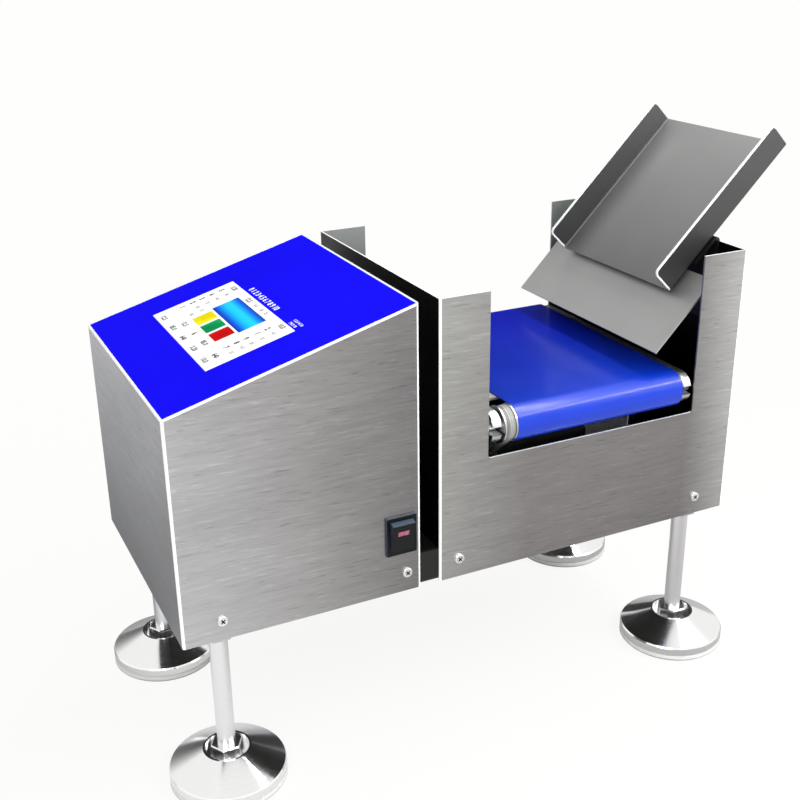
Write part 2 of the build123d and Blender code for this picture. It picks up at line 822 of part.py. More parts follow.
with BuildPart() as chute_bracket:
    with BuildSketch(Plane.XZ):
        add(folded_strip(
            [
                (right_inner_x, chute_bracket_foot_z),
                (right_inner_x, chute_bracket_top),
                (
                    right_inner_x - chute_flange * cos(chute_rise),
                    chute_bracket_top - chute_flange * sin(chute_rise),
                ),
            ],
            bracket_sheet + bracket_bend,
            bracket_sheet,
            Side.LEFT,
        ))
    extrude(amount=chute_bracket_width / 2, both=True)
    add(bracket_screw_drills.part, mode=Mode.SUBTRACT)
chute_bracket.part.label = "chute_bracket"
export_step(chute_bracket.part, "parts/chute_bracket.step")

with BuildPart() as guide_bracket:
    with BuildSketch(Plane.XZ):
        add(folded_strip(
            [
                (guide_wall_x, guide_bracket_foot_z),
                (guide_wall_x, guide_bracket_top),
                (guide_flange_x, height_on_slope(guide_under, guide_rise, guide_flange_x)),
            ],
            bracket_sheet + bracket_bend,
            bracket_sheet,
            Side.LEFT,
        ))
    extrude(amount=guide_bracket_width / 2, both=True)
    add(bracket_screw_drills.part, mode=Mode.SUBTRACT)
guide_bracket.part.label = "guide_bracket"
export_step(guide_bracket.part, "parts/guide_bracket.step")

with BuildPart() as bracket_screws:
    with BuildSketch(Plane.YZ.offset(body_right)):
        with Locations(bracket_screw_places):
            Circle(bracket_head_radius)
    extrude(amount=bracket_head_height)
    with BuildSketch(Plane.YZ.offset(body_right)):
        with Locations(bracket_screw_places[0:2]):
            Circle(bracket_screw_radius)
    extrude(amount=-sheet - bracket_sheet - screw_end)
    with BuildSketch(Plane.YZ.offset(body_right)):
        with Locations(bracket_screw_places[2:4]):
            Circle(bracket_screw_radius)
    extrude(amount=-sheet - 2 * bracket_sheet - screw_end)
    crowns = bracket_screws.edges().filter_by(GeomType.CIRCLE).group_by(Axis.X)
    chamfer(crowns[-1], pan_head_chamfer)
bracket_screws.part.label = "bracket_screws"
export_step(bracket_screws.part, "parts/bracket_screws.step")

# LOAD CELL and what holds it: blocks at each end, bolts, and stops that limit its bending
cell_base_z = tray_floor + cell_base_block_height
cell_top_z = cell_base_z + cell_height
top_block_z = cell_top_z + moving_gap
platform_z = top_block_z + cell_top_block_height
platform_top = platform_z + platform_thickness
cell_hole_radius = 7.0
cell_hole_spread = 22.0
cell_slot = 6.0
stop_radius = 4.0
stop_inset = 25.0
stop_spread_y = 48.0
stop_nut = 13.0
stop_nut_height = 6.5

with BuildPart() as cell_base_block:
    with BuildSketch(Plane.XY.offset(tray_floor)):
        with Locations((conveyor_x, cell_fixed_y)):
            Rectangle(cell_width, cell_block_length)
            with Locations((0, -cell_bolt_spread / 2), (0, cell_bolt_spread / 2)):
                Circle(cell_bolt_radius + thread_clearance, mode=Mode.SUBTRACT)
    extrude(amount=cell_base_block_height)
cell_base_block.part.label = "cell_base_block"
export_step(cell_base_block.part, "parts/cell_base_block.step")

with BuildPart() as load_cell:
    with BuildSketch(Plane.YZ.offset(conveyor_x)):
        with Locations((0, cell_base_z + cell_height / 2)):
            Rectangle(cell_length, cell_height)
            with GridLocations(cell_hole_spread, 0, 2, 1):
                Circle(cell_hole_radius, mode=Mode.SUBTRACT)
            Rectangle(cell_hole_spread, cell_slot, mode=Mode.SUBTRACT)
    extrude(amount=cell_width / 2, both=True)
    with BuildSketch(Plane.XY.offset(cell_base_z)):
        with Locations((conveyor_x, cell_fixed_y)):
            with Locations((0, -cell_bolt_spread / 2), (0, cell_bolt_spread / 2)):
                Circle(cell_bolt_radius + thread_clearance)
    extrude(amount=cell_height / 2, mode=Mode.SUBTRACT)
load_cell.part.label = "load_cell"
export_step(load_cell.part, "parts/load_cell.step")

cell_bolt_head = 5.0
cell_bolt_head_height = 4.0
cell_bolt_length = tray_thickness + cell_base_block_height + cell_height / 2 - 1.0

with BuildPart() as cell_bolts:
    with BuildSketch(Plane.XY.offset(body_bottom)):
        with Locations((conveyor_x, cell_fixed_y)):
            with Locations((0, -cell_bolt_spread / 2), (0, cell_bolt_spread / 2)):
                RegularPolygon(cell_bolt_head, 6, major_radius=False)
    extrude(amount=-cell_bolt_head_height)
    with BuildSketch(Plane.XY.offset(body_bottom)):
        with Locations((conveyor_x, cell_fixed_y)):
            with Locations((0, -cell_bolt_spread / 2), (0, cell_bolt_spread / 2)):
                Circle(cell_bolt_radius)
    extrude(amount=cell_bolt_length)
cell_bolts.part.label = "cell_bolts"
export_step(cell_bolts.part, "parts/cell_bolts.step")

with BuildPart() as cell_top_block:
    with BuildSketch(Plane.XY.offset(top_block_z)):
        with Locations((conveyor_x, -cell_fixed_y)):
            Rectangle(cell_width, cell_block_length)
    extrude(amount=cell_top_block_height)
cell_top_block.part.label = "cell_top_block"
export_step(cell_top_block.part, "parts/cell_top_block.step")

with BuildPart() as overload_stops:
    with BuildSketch(Plane.XY.offset(tray_floor)):
        with Locations((conveyor_x, 0)):
            with GridLocations(inner_width - 2 * stop_inset, 2 * stop_spread_y, 2, 2):
                Circle(stop_radius)
    extrude(amount=platform_z - moving_gap - tray_floor)
    with BuildSketch(Plane.XY.offset(tray_floor)):
        with Locations((conveyor_x, 0)):
            with GridLocations(inner_width - 2 * stop_inset, 2 * stop_spread_y, 2, 2):
                RegularPolygon(stop_nut / 2, 6, major_radius=False)
    extrude(amount=stop_nut_height)
overload_stops.part.label = "overload_stops"
export_step(overload_stops.part, "parts/overload_stops.step")

# WEIGH CONVEYOR: everything from here on stands on the load cell
leg_top_half = 46.0
leg_foot_half = 38.0
leg_foot_z = platform_z
plate_fillet = 8.0
platform_screw_radius = 2.5
cross_bar_radius = 6.0
platform_corner = 6.0
plate_edge_chamfer = 0.6
cross_bar_drop = 4.0
cross_bar_places = [(-25.0, roller_z - cross_bar_drop), (60.0, roller_z - cross_bar_drop)]
slot_height = axle_flats + 2 * slot_clearance
slot_length = 1.2 * axle_radius

with BuildPart() as weigh_platform:
    with BuildSketch(Plane.XY.offset(platform_z)):
        with Locations((conveyor_x, 0)):
            Rectangle(inner_width, platform_length)
        fillet(vertices(), platform_corner)
    extrude(amount=platform_thickness)
weigh_platform.part.label = "weigh_platform"
export_step(weigh_platform.part, "parts/weigh_platform.step")

for side, plate_x in (("left", plate_outer_left), ("right", plate_inner_right)):
    with BuildPart() as side_plate_part:
        with BuildSketch(Plane.YZ.offset(plate_x)):
            with Locations((0, roller_z)):
                SlotCenterToCenter(roller_span, 2 * plate_end_radius)
            with BuildLine():
                Polyline(
                    (-leg_top_half, roller_z),
                    (-leg_top_half, roller_z - plate_end_radius),
                    (-leg_foot_half, leg_foot_z),
                    (leg_foot_half, leg_foot_z),
                    (leg_top_half, roller_z - plate_end_radius),
                    (leg_top_half, roller_z),
                    close=True,
                )
            make_face()
            inside = [
                v
                for v in vertices()
                if abs(abs(v.X) - leg_top_half) < 0.01 and abs(v.Y - roller_z + plate_end_radius) < 0.01
            ]
            fillet(inside, plate_fillet)
            # Open slots that the axle ends slide into for belt tension
            with Locations((-roller_y, roller_z), (roller_y, roller_z)):
                SlotCenterToCenter(slot_length, slot_height, mode=Mode.SUBTRACT)
            with Locations(
                (-roller_y - plate_end_radius, roller_z),
                (roller_y + plate_end_radius, roller_z),
            ):
                Rectangle(2 * plate_end_radius, slot_height, mode=Mode.SUBTRACT)
            with Locations(cross_bar_places):
                Circle(platform_screw_radius + thread_clearance, mode=Mode.SUBTRACT)
        extrude(amount=side_plate)
        long_edges = side_plate_part.edges().filter_by(GeomType.CIRCLE).filter_by(
            lambda e: abs(e.radius - plate_end_radius) < 0.01
        )
        chamfer(long_edges, plate_edge_chamfer)
    side_plate_part.part.label = f"side_plate_{side}"
    export_step(side_plate_part.part, f"parts/side_plate_{side}.step")

with BuildPart() as cross_bars:
    with BuildSketch(Plane.YZ.offset(plate_inner_left)):
        with Locations(cross_bar_places):
            Circle(cross_bar_radius)
    extrude(amount=inner_width)
    with BuildSketch(Plane.YZ.offset(plate_inner_left)):
        with Locations(cross_bar_places):
            Circle(platform_screw_radius + thread_clearance)
    extrude(amount=inner_width, mode=Mode.SUBTRACT)
cross_bars.part.label = "cross_bars"
export_step(cross_bars.part, "parts/cross_bars.step")

# Belt and rollers; the loop is clear of both turning rollers by the moving gap
belt_inner_radius = roller_radius + roller_crown + moving_gap
belt_outer_radius = belt_inner_radius + belt_thickness
belt_right = plate_inner_right - belt_edge_gap
belt_left = plate_inner_left + drive_space
pulley_width = 8.8
roller_overlap = 0.1
pulley_right = belt_left - roller_overlap
pulley_left = pulley_right - pulley_width - 2 * flange_thickness
roller_left = pulley_right
roller_right = belt_right + roller_overlap
bed_half = 80.0
bed_thickness = 2.0
bed_flange = 10.0
bed_gap = 0.1
bed_bend = 1.0
bed_top = roller_z + belt_inner_radius - bed_gap

with BuildPart() as slider_bed:
    with BuildSketch(Plane.XZ):
        add(folded_strip(
            [
                (plate_inner_left, bed_top - bed_flange),
                (plate_inner_left, bed_top),
                (plate_inner_right, bed_top),
                (plate_inner_right, bed_top - bed_flange),
            ],
            bed_thickness + bed_bend,
            bed_thickness,
            Side.RIGHT,
        ))
    extrude(amount=bed_half, both=True)
slider_bed.part.label = "slider_bed"
export_step(slider_bed.part, "parts/slider_bed.step")

with BuildPart() as conveyor_belt:
    with BuildSketch(Plane.YZ.offset(belt_left)):
        with Locations((0, roller_z)):
            SlotCenterToCenter(roller_span, 2 * belt_outer_radius)
            SlotCenterToCenter(roller_span, 2 * belt_inner_radius, mode=Mode.SUBTRACT)
    extrude(amount=belt_right - belt_left)
conveyor_belt.part.label = "conveyor_belt"
export_step(conveyor_belt.part, "parts/conveyor_belt.step")

axle_end_gap = 0.5
axle_tap_radius = 2.6
axle_tap_depth = 12.0
clamp_screw_radius = 2.5
clamp_screw_end_gap = 1.0
clamp_head_radius = 6.0
clamp_head_height = 3.5
clamp_head_chamfer = 0.8
shell_wall = 3.3
groove_radii = (9.2, 6.2)
groove_depth = 0.5
bearing_seat = bearing_radius + running_clearance

for end, y in (("front", -roller_y), ("rear", roller_y)):
    long_plane = Plane(origin=(0, y, roller_z), x_dir=(1, 0, 0), z_dir=(0, -1, 0))
    turning = Axis((0, y, roller_z), (1, 0, 0))

    # Still axle with flats at both ends, tapped for its clamp screws
    with BuildPart() as axle:
        with BuildSketch(Plane(origin=(plate_outer_left + axle_end_gap, y, roller_z), z_dir=(1, 0, 0))):
            Circle(axle_radius)
        extrude(amount=conveyor_width - 2 * axle_end_gap)
        for flat_x in (plate_outer_left, plate_inner_right):
            for flat_z in (-1, 1):
                with BuildSketch(Plane.YZ.offset(flat_x)):
                    with Locations((y, roller_z + flat_z * (axle_flats / 2 + axle_radius))):
                        Rectangle(2 * axle_radius, 2 * axle_radius)
                extrude(amount=side_plate, mode=Mode.SUBTRACT)
        for end_x, inward in ((plate_outer_left, 1), (plate_outer_right, -1)):
            with BuildSketch(Plane.YZ.offset(end_x)):
                with Locations((y, roller_z)):
                    Circle(axle_tap_radius)
            extrude(amount=inward * axle_tap_depth, mode=Mode.SUBTRACT)
    axle.part.label = f"{end}_axle"
    export_step(axle.part, f"parts/{end}_axle.step")

    # Crowned roller shell, bored from both ends for its bearings
    with BuildPart() as roller:
        with BuildSketch(long_plane):
            with BuildLine():
                ThreePointArc(
                    (roller_left, roller_radius),
                    ((roller_left + roller_right) / 2, roller_radius + roller_crown),
                    (roller_right, roller_radius),
                )
                Polyline(
                    (roller_right, roller_radius),
                    (roller_right, bearing_seat),
                    (roller_right - bearing_width, bearing_seat),
                    (roller_right - bearing_width, roller_radius - shell_wall),
                    (roller_left + bearing_width, roller_radius - shell_wall),
                    (roller_left + bearing_width, bearing_seat),
                    (roller_left, bearing_seat),
                    (roller_left, roller_radius),
                )
            make_face()
        revolve(axis=turning)
    roller.part.label = f"{end}_roller"
    export_step(roller.part, f"parts/{end}_roller.step")

    with BuildPart() as bearings:
        for bearing_x in (roller_left, roller_right - bearing_width):
            with BuildSketch(Plane.YZ.offset(bearing_x)):
                with Locations((y, roller_z)):
                    Circle(bearing_radius)
                    Circle(axle_radius + running_clearance, mode=Mode.SUBTRACT)
            extrude(amount=bearing_width)
        # Shallow groove between the two rings, on the faces that look out of the roller
        for face_x, inward in ((roller_left, 1), (roller_right, -1)):
            with BuildSketch(Plane.YZ.offset(face_x)):
                with Locations((y, roller_z)):
                    Circle(groove_radii[0])
                    Circle(groove_radii[1], mode=Mode.SUBTRACT)
            extrude(amount=inward * groove_depth, mode=Mode.SUBTRACT)
    bearings.part.label = f"{end}_bearings"
    export_step(bearings.part, f"parts/{end}_bearings.step")

with BuildPart() as axle_screws:
    for face_x, outward in ((plate_outer_left, -1), (plate_outer_right, 1)):
        with BuildSketch(Plane.YZ.offset(face_x)):
            with Locations((-roller_y, roller_z), (roller_y, roller_z)):
                Circle(clamp_head_radius)
        extrude(amount=outward * clamp_head_height)
        with BuildSketch(Plane.YZ.offset(face_x)):
            with Locations((-roller_y, roller_z), (roller_y, roller_z)):
                Circle(clamp_screw_radius)
        extrude(amount=-outward * (axle_tap_depth - clamp_screw_end_gap))
    crowns = axle_screws.edges().filter_by(GeomType.CIRCLE).group_by(Axis.X)
    chamfer([*crowns[0], *crowns[-1]], clamp_head_chamfer)
axle_screws.part.label = "axle_screws"
export_step(axle_screws.part, "parts/axle_screws.step")

# TIMING DRIVE: equal toothed pulleys on the front roller and on the motor shaft
belt_pitch_offset = 0.6
tooth_gap_share = 0.4
timing_belt_side_gap = 0.4
pulley_tip_radius = pulley_teeth * tooth_pitch / (2 * pi) - belt_pitch_offset
timing_inner_radius = pulley_tip_radius + moving_gap
timing_outer_radius = timing_inner_radius + timing_belt_thickness
toothed_left = pulley_left + flange_thickness
motor_room = roller_z - belt_outer_radius - platform_top
motor_z = platform_top + motor_room / 2
gearbox_radius = motor_room / 2 - motor_air
can_radius = gearbox_radius - can_step
shaft_radius = 4.0
pulley_bore = axle_radius + running_clearance


def toothed_pulley(y, z, bore):
    """Flanged toothed pulley at (y, z), with trapezoid grooves cut round its rim."""
    with BuildPart() as pulley:
        with BuildSketch(Plane.YZ.offset(pulley_left)):
            with Locations((y, z)):
                Circle(flange_radius)
        extrude(amount=flange_thickness)
        with BuildSketch(Plane.YZ.offset(pulley_right - flange_thickness)):
            with Locations((y, z)):
                Circle(flange_radius)
        extrude(amount=flange_thickness)
        with BuildSketch(Plane.YZ.offset(toothed_left)):
            with Locations((y, z)):
                Circle(pulley_tip_radius)
                with PolarLocations(pulley_tip_radius, pulley_teeth):
                    Rectangle(2 * tooth_depth, tooth_pitch * tooth_gap_share, mode=Mode.SUBTRACT)
        extrude(amount=pulley_width)
        with BuildSketch(Plane.YZ.offset(pulley_left)):
            with Locations((y, z)):
                Circle(bore)
        extrude(amount=pulley_right - pulley_left, mode=Mode.SUBTRACT)
    return pulley.part


with BuildPart() as roller_pulley:
    add(toothed_pulley(-roller_y, roller_z, pulley_bore))
roller_pulley.part.label = "roller_pulley"
export_step(roller_pulley.part, "parts/roller_pulley.step")

with BuildPart() as motor_pulley:
    add(toothed_pulley(motor_y, motor_z, shaft_radius))
motor_pulley.part.label = "motor_pulley"
export_step(motor_pulley.part, "parts/motor_pulley.step")

with BuildPart() as timing_belt:
    for radius, mode in ((timing_outer_radius, Mode.ADD), (timing_inner_radius, Mode.SUBTRACT)):
        with BuildSketch(Plane.YZ.offset(toothed_left + timing_belt_side_gap)):
            with Locations((-roller_y, roller_z), (motor_y, motor_z)):
                Circle(radius)
            make_hull()
        extrude(amount=pulley_width - 2 * timing_belt_side_gap, mode=mode)
timing_belt.part.label = "timing_belt"
export_step(timing_belt.part, "parts/timing_belt.step")

# GEAR MOTOR on its bracket under the belt
bracket_plate = 3.0
motor_bracket_gap = 1.0
motor_bracket_x = pulley_right + motor_bracket_gap
gearbox_x = motor_bracket_x + bracket_plate
motor_bracket_margin = 4.0
motor_bracket_width = 2 * (gearbox_radius + motor_bracket_margin)
motor_bracket_foot = 32.0
motor_bracket_bend = 1.0
motor_bracket_rise = gearbox_radius + 2.0
shaft_bore_depth = 12.0
pilot_radius = shaft_radius + 6.0
pilot_fit = 0.5
motor_screw_circle = gearbox_radius - 6.0
motor_screw_radius = 1.6
motor_end_chamfer = 2.0
motor_cap_radius = 6.0
motor_cap_height = 4.0
motor_tab = (1.0, 6.0)
motor_tab_place = can_radius - 8.0
shaft_chamfer = 0.6
shaft_end_gap = 1.0

with BuildPart() as motor_bracket:
    with BuildSketch(Plane.XZ.offset(-motor_y)):
        add(folded_strip(
            [
                (motor_bracket_x, motor_z + motor_bracket_rise),
                (motor_bracket_x, platform_top),
                (motor_bracket_x + motor_bracket_foot, platform_top),
            ],
            bracket_plate + motor_bracket_bend,
            bracket_plate,
            Side.LEFT,
        ))
    extrude(amount=motor_bracket_width / 2, both=True)
    with BuildSketch(Plane.YZ.offset(motor_bracket_x)):
        with Locations((motor_y, motor_z)):
            Circle(pilot_radius)
            with PolarLocations(motor_screw_circle, 4, 45):
                Circle(motor_screw_radius)
    extrude(amount=bracket_plate, mode=Mode.SUBTRACT)
motor_bracket.part.label = "motor_bracket"
export_step(motor_bracket.part, "parts/motor_bracket.step")

with BuildPart() as gear_motor:
    with BuildSketch(Plane.YZ.offset(gearbox_x)):
        with Locations((motor_y, motor_z)):
            Circle(gearbox_radius)
    extrude(amount=gearbox_length)
    with BuildSketch(Plane.YZ.offset(gearbox_x + gearbox_length)):
        with Locations((motor_y, motor_z)):
            Circle(can_radius)
    extrude(amount=can_length)
    chamfer(gear_motor.faces().sort_by(Axis.X)[-1].edges(), motor_end_chamfer)
    with BuildSketch(Plane.YZ.offset(gearbox_x + gearbox_length + can_length)):
        with Locations((motor_y, motor_z)):
            Circle(motor_cap_radius)
            with Locations((-motor_tab_place, 0), (motor_tab_place, 0)):
                Rectangle(*motor_tab)
    extrude(amount=motor_cap_height)
    with BuildSketch(Plane.YZ.offset(gearbox_x)):
        with Locations((motor_y, motor_z)):
            Circle(pilot_radius - pilot_fit)
    extrude(amount=-bracket_plate + pilot_fit)
    with BuildSketch(Plane.YZ.offset(gearbox_x - bracket_plate)):
        with Locations((motor_y, motor_z)):
            Circle(shaft_radius + running_clearance)
    extrude(amount=bracket_plate + shaft_bore_depth, mode=Mode.SUBTRACT)
gear_motor.part.label = "gear_motor"
export_step(gear_motor.part, "parts/gear_motor.step")

with BuildPart() as motor_shaft:
    with BuildSketch(Plane.YZ.offset(pulley_left)):
        with Locations((motor_y, motor_z)):
            Circle(shaft_radius)
    extrude(amount=gearbox_x + shaft_bore_depth - shaft_end_gap - pulley_left)
    chamfer(motor_shaft.faces().sort_by(Axis.X)[0].edges(), shaft_chamfer)
motor_shaft.part.label = "motor_shaft"
export_step(motor_shaft.part, "parts/motor_shaft.step")
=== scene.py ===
from math import atan2, cos, radians, sin

import bmesh
import bpy
from mathutils import Matrix, Vector


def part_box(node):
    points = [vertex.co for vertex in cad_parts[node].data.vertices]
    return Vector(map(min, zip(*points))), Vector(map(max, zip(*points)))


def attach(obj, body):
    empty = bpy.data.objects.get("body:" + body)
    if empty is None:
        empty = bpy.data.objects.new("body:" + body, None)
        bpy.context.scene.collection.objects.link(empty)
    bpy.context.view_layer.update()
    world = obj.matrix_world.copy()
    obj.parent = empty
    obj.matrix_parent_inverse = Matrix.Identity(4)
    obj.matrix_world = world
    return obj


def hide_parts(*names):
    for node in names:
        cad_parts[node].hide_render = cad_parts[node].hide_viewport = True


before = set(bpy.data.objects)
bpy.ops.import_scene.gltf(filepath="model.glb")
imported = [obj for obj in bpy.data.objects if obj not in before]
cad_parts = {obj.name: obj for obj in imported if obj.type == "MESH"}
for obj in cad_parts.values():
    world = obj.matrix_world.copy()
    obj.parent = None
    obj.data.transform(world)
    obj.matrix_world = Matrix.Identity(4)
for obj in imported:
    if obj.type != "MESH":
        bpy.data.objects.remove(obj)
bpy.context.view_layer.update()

# LEVELLING FEET
# Four machined stainless feet carry the scale: a ground stud with a hexagon, whose ball end
# turns in a mirror-polished cup on a pale non-slip pad. A lock nut holds each stud to the tray.
FEET = {
    "front_left": (-0.232694, -0.09),
    "back_left": (-0.232694, 0.09),
    "front_right": (0.188806, -0.09),
    "back_right": (0.188806, 0.09),
}


def srgb(code):
    """Linear RGBA of an sRGB hex colour."""
    parts = [int(code[i:i + 2], 16) / 255 for i in (0, 2, 4)]
    return (*(c / 12.92 if c <= 0.04045 else ((c + 0.055) / 1.055) ** 2.4 for c in parts), 1)


def add_node(tree, kind, inputs=None, stops=None, **settings):
    """Adds a shader node with its settings, its inputs' values or links, and a ramp's colour stops."""
    node = tree.nodes.new(kind)
    for name, value in settings.items():
        setattr(node, name, value)
    for socket, value in (inputs or {}).items():
        if isinstance(value, bpy.types.NodeSocket):
            tree.links.new(value, node.inputs[socket])
        else:
            node.inputs[socket].default_value = value
    if stops:
        points = node.color_ramp.elements
        while len(points) < len(stops):
            points.new(0.5)
        for point, (place, code) in zip(points, stops):
            point.position = place
            point.color = srgb(code)
    return node


def new_finish(name, **values):
    """A material and its node tree, with plain values set on the shader's own sockets."""
    finish = bpy.data.materials.new(name)
    finish.use_nodes = True
    shader = finish.node_tree.nodes["Principled BSDF"]
    for socket, value in values.items():
        shader.inputs[socket.replace("_", " ")].default_value = value
    return finish, finish.node_tree


def feed_shader(tree, **links):
    """Links node outputs to the shader's sockets."""
    for socket, value in links.items():
        tree.links.new(value, tree.nodes["Principled BSDF"].inputs[socket.replace("_", " ")])


def dress(finish, *nodes):
    """Gives CAD nodes a finish."""
    for name in nodes:
        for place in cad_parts[name].material_slots:
            place.material = finish


def grain(tree, size, detail=2.0, roughness=0.5, tilt=0.0):
    """Noise whose lumps have the given size along X, Y and Z, in metres, tilted about Y."""
    coords = add_node(tree, "ShaderNodeTexCoord").outputs["Object"]
    local = add_node(tree, "ShaderNodeMapping", {
        "Vector": coords, "Rotation": (0, tilt, 0), "Scale": size,
    }, vector_type="TEXTURE")
    return add_node(tree, "ShaderNodeTexNoise", {
        "Vector": local.outputs["Vector"], "Scale": 1.0, "Detail": detail, "Roughness": roughness,
    }).outputs["Fac"]


def shade(tree, base, mottle, amount, low=0.3, high=0.7):
    """Darkens a colour by the amount where the mottle is at its low value, and not at its high one."""
    level = add_node(tree, "ShaderNodeMapRange", {
        "Value": mottle, "From Min": low, "From Max": high, "To Min": 1 - amount, "To Max": 1.0,
    })
    colour = base if isinstance(base, bpy.types.NodeSocket) else base[:3]
    return add_node(tree, "ShaderNodeVectorMath", {
        0: colour, "Scale": level.outputs["Result"],
    }, operation="SCALE").outputs["Vector"]


def surface(tree, colour, mottle, polish, depth=0.0):
    """Feeds the shader a colour, a roughness between two values that follows the mottle, and its relief."""
    rough = add_node(tree, "ShaderNodeMapRange", {
        "Value": mottle, "From Min": 0.3, "From Max": 0.7, "To Min": polish[0], "To Max": polish[1],
    })
    feed_shader(tree, Base_Color=colour, Roughness=rough.outputs["Result"])
    if depth:
        relief = add_node(tree, "ShaderNodeBump", {"Height": mottle, "Distance": depth, "Strength": 1.0})
        feed_shader(tree, Normal=relief.outputs["Normal"])


# Polished stainless steel (304), ground and buffed while it turned in a lathe. Its rings spread
# each reflection inwards and outwards, so what it mirrors becomes wedges that meet at the middle.
def turned_steel(name, centre, tone, polish):
    """Turned steel round an upright axis at the centre, with a painted highlight, white, at the cup's rim."""
    finish, tree = new_finish(name, Metallic=1.0, Anisotropic=0.8, Anisotropic_Rotation=0.25)
    coords = add_node(tree, "ShaderNodeTexCoord").outputs["Object"]
    local = add_node(tree, "ShaderNodeMapping", {"Vector": coords, "Location": (-centre[0], -centre[1], 0)})
    axes = add_node(tree, "ShaderNodeSeparateXYZ", {"Vector": local.outputs["Vector"]})
    # The rim's upper edge is painted white, a painted highlight
    edge = add_node(tree, "ShaderNodeMath", {0: axes.outputs["Z"], 1: 0.0125, 2: 0.0005}, operation="COMPARE")
    base = add_node(tree, "ShaderNodeMix", {
        0: edge.outputs["Value"], 6: srgb(tone), 7: srgb("ffffff"),
    }, data_type="RGBA").outputs[2]
    flat = add_node(tree, "ShaderNodeCombineXYZ", {"X": axes.outputs["X"], "Y": axes.outputs["Y"]})
    radius = add_node(tree, "ShaderNodeVectorMath", {0: flat.outputs["Vector"]}, operation="LENGTH")
    # Lathe rings 0.3 mm apart are drawn at 1 mm, so that they show at all
    rings = add_node(tree, "ShaderNodeTexNoise", {
        "W": radius.outputs["Value"], "Scale": 1000.0, "Detail": 1.0,
    }, noise_dimensions="1D")
    speckle = grain(tree, (0.0008, 0.0008, 0.0014), 2.0)
    surface(tree, shade(tree, base, speckle, 0.06), rings.outputs["Fac"], polish)
    around = add_node(tree, "ShaderNodeTangent", direction_type="RADIAL", axis="Z")
    feed_shader(tree, Tangent=around.outputs["Tangent"])
    return finish


for corner, centre in FEET.items():
    dress(turned_steel(f"polished_cup_{corner}", centre, "f4f4f4", (0.1, 0.16)), f"foot_cup_{corner}")
    dress(turned_steel(f"ground_stud_{corner}", centre, "f2f2f3", (0.16, 0.24)), f"foot_stud_{corner}")

# Pale thermoplastic rubber, moulded: a soft sheen with a fine mould grain, and darker towards its lower edge.
pad_finish, tree = new_finish("moulded_pad_rubber", Specular_IOR_Level=0.35)
lumps = grain(tree, (0.0012, 0.0012, 0.0012))
height = add_node(tree, "ShaderNodeSeparateXYZ", {"Vector": add_node(tree, "ShaderNodeTexCoord").outputs["Object"]})
pad_lower_band = add_node(tree, "ShaderNodeMapRange", {"Value": height.outputs["Z"], "From Min": 0.0, "From Max": 0.005})
pad_tone = add_node(tree, "ShaderNodeValToRGB", {"Fac": pad_lower_band.outputs["Result"]}, [
    (0.0, "8c8c8a"), (0.22, "9a9a98"), (0.4, "e2e2e0"), (1.0, "e8e8e6"),
])
surface(tree, shade(tree, pad_tone.outputs["Color"], lumps, 0.06), lumps, (0.5, 0.6), 0.00003)
dress(pad_finish, *[f"foot_pad_{corner}" for corner in FEET])

# Zinc-plated steel, cold-formed: bright with a faint bluish mottle.
zinc_finish, tree = new_finish("zinc_plated_steel", Metallic=1.0)
lumps = grain(tree, (0.004, 0.004, 0.004), 3.0)
surface(tree, shade(tree, srgb("d3d5d8"), lumps, 0.18), lumps, (0.18, 0.34))
dress(zinc_finish, "foot_lock_nuts", "board_standoffs", "cell_bolts", "overload_stops")


# SHEET-METAL CASES
# The tray, the control box and the housing are folded from brushed stainless sheet, 1.5 mm and
# 3 mm thick, No. 4 finish. Belt grinding leaves level strokes. Every cut edge and outer fold has a
# painted highlight, white, and the tones along the sheets are painted light and shade. The tray is
# coloured satin black, a painted shade for the dark between and under the boxes.
TOP_MIDDLE = Vector((-0.169694, 0, 0.336))
top_rise = atan2(52, 188)


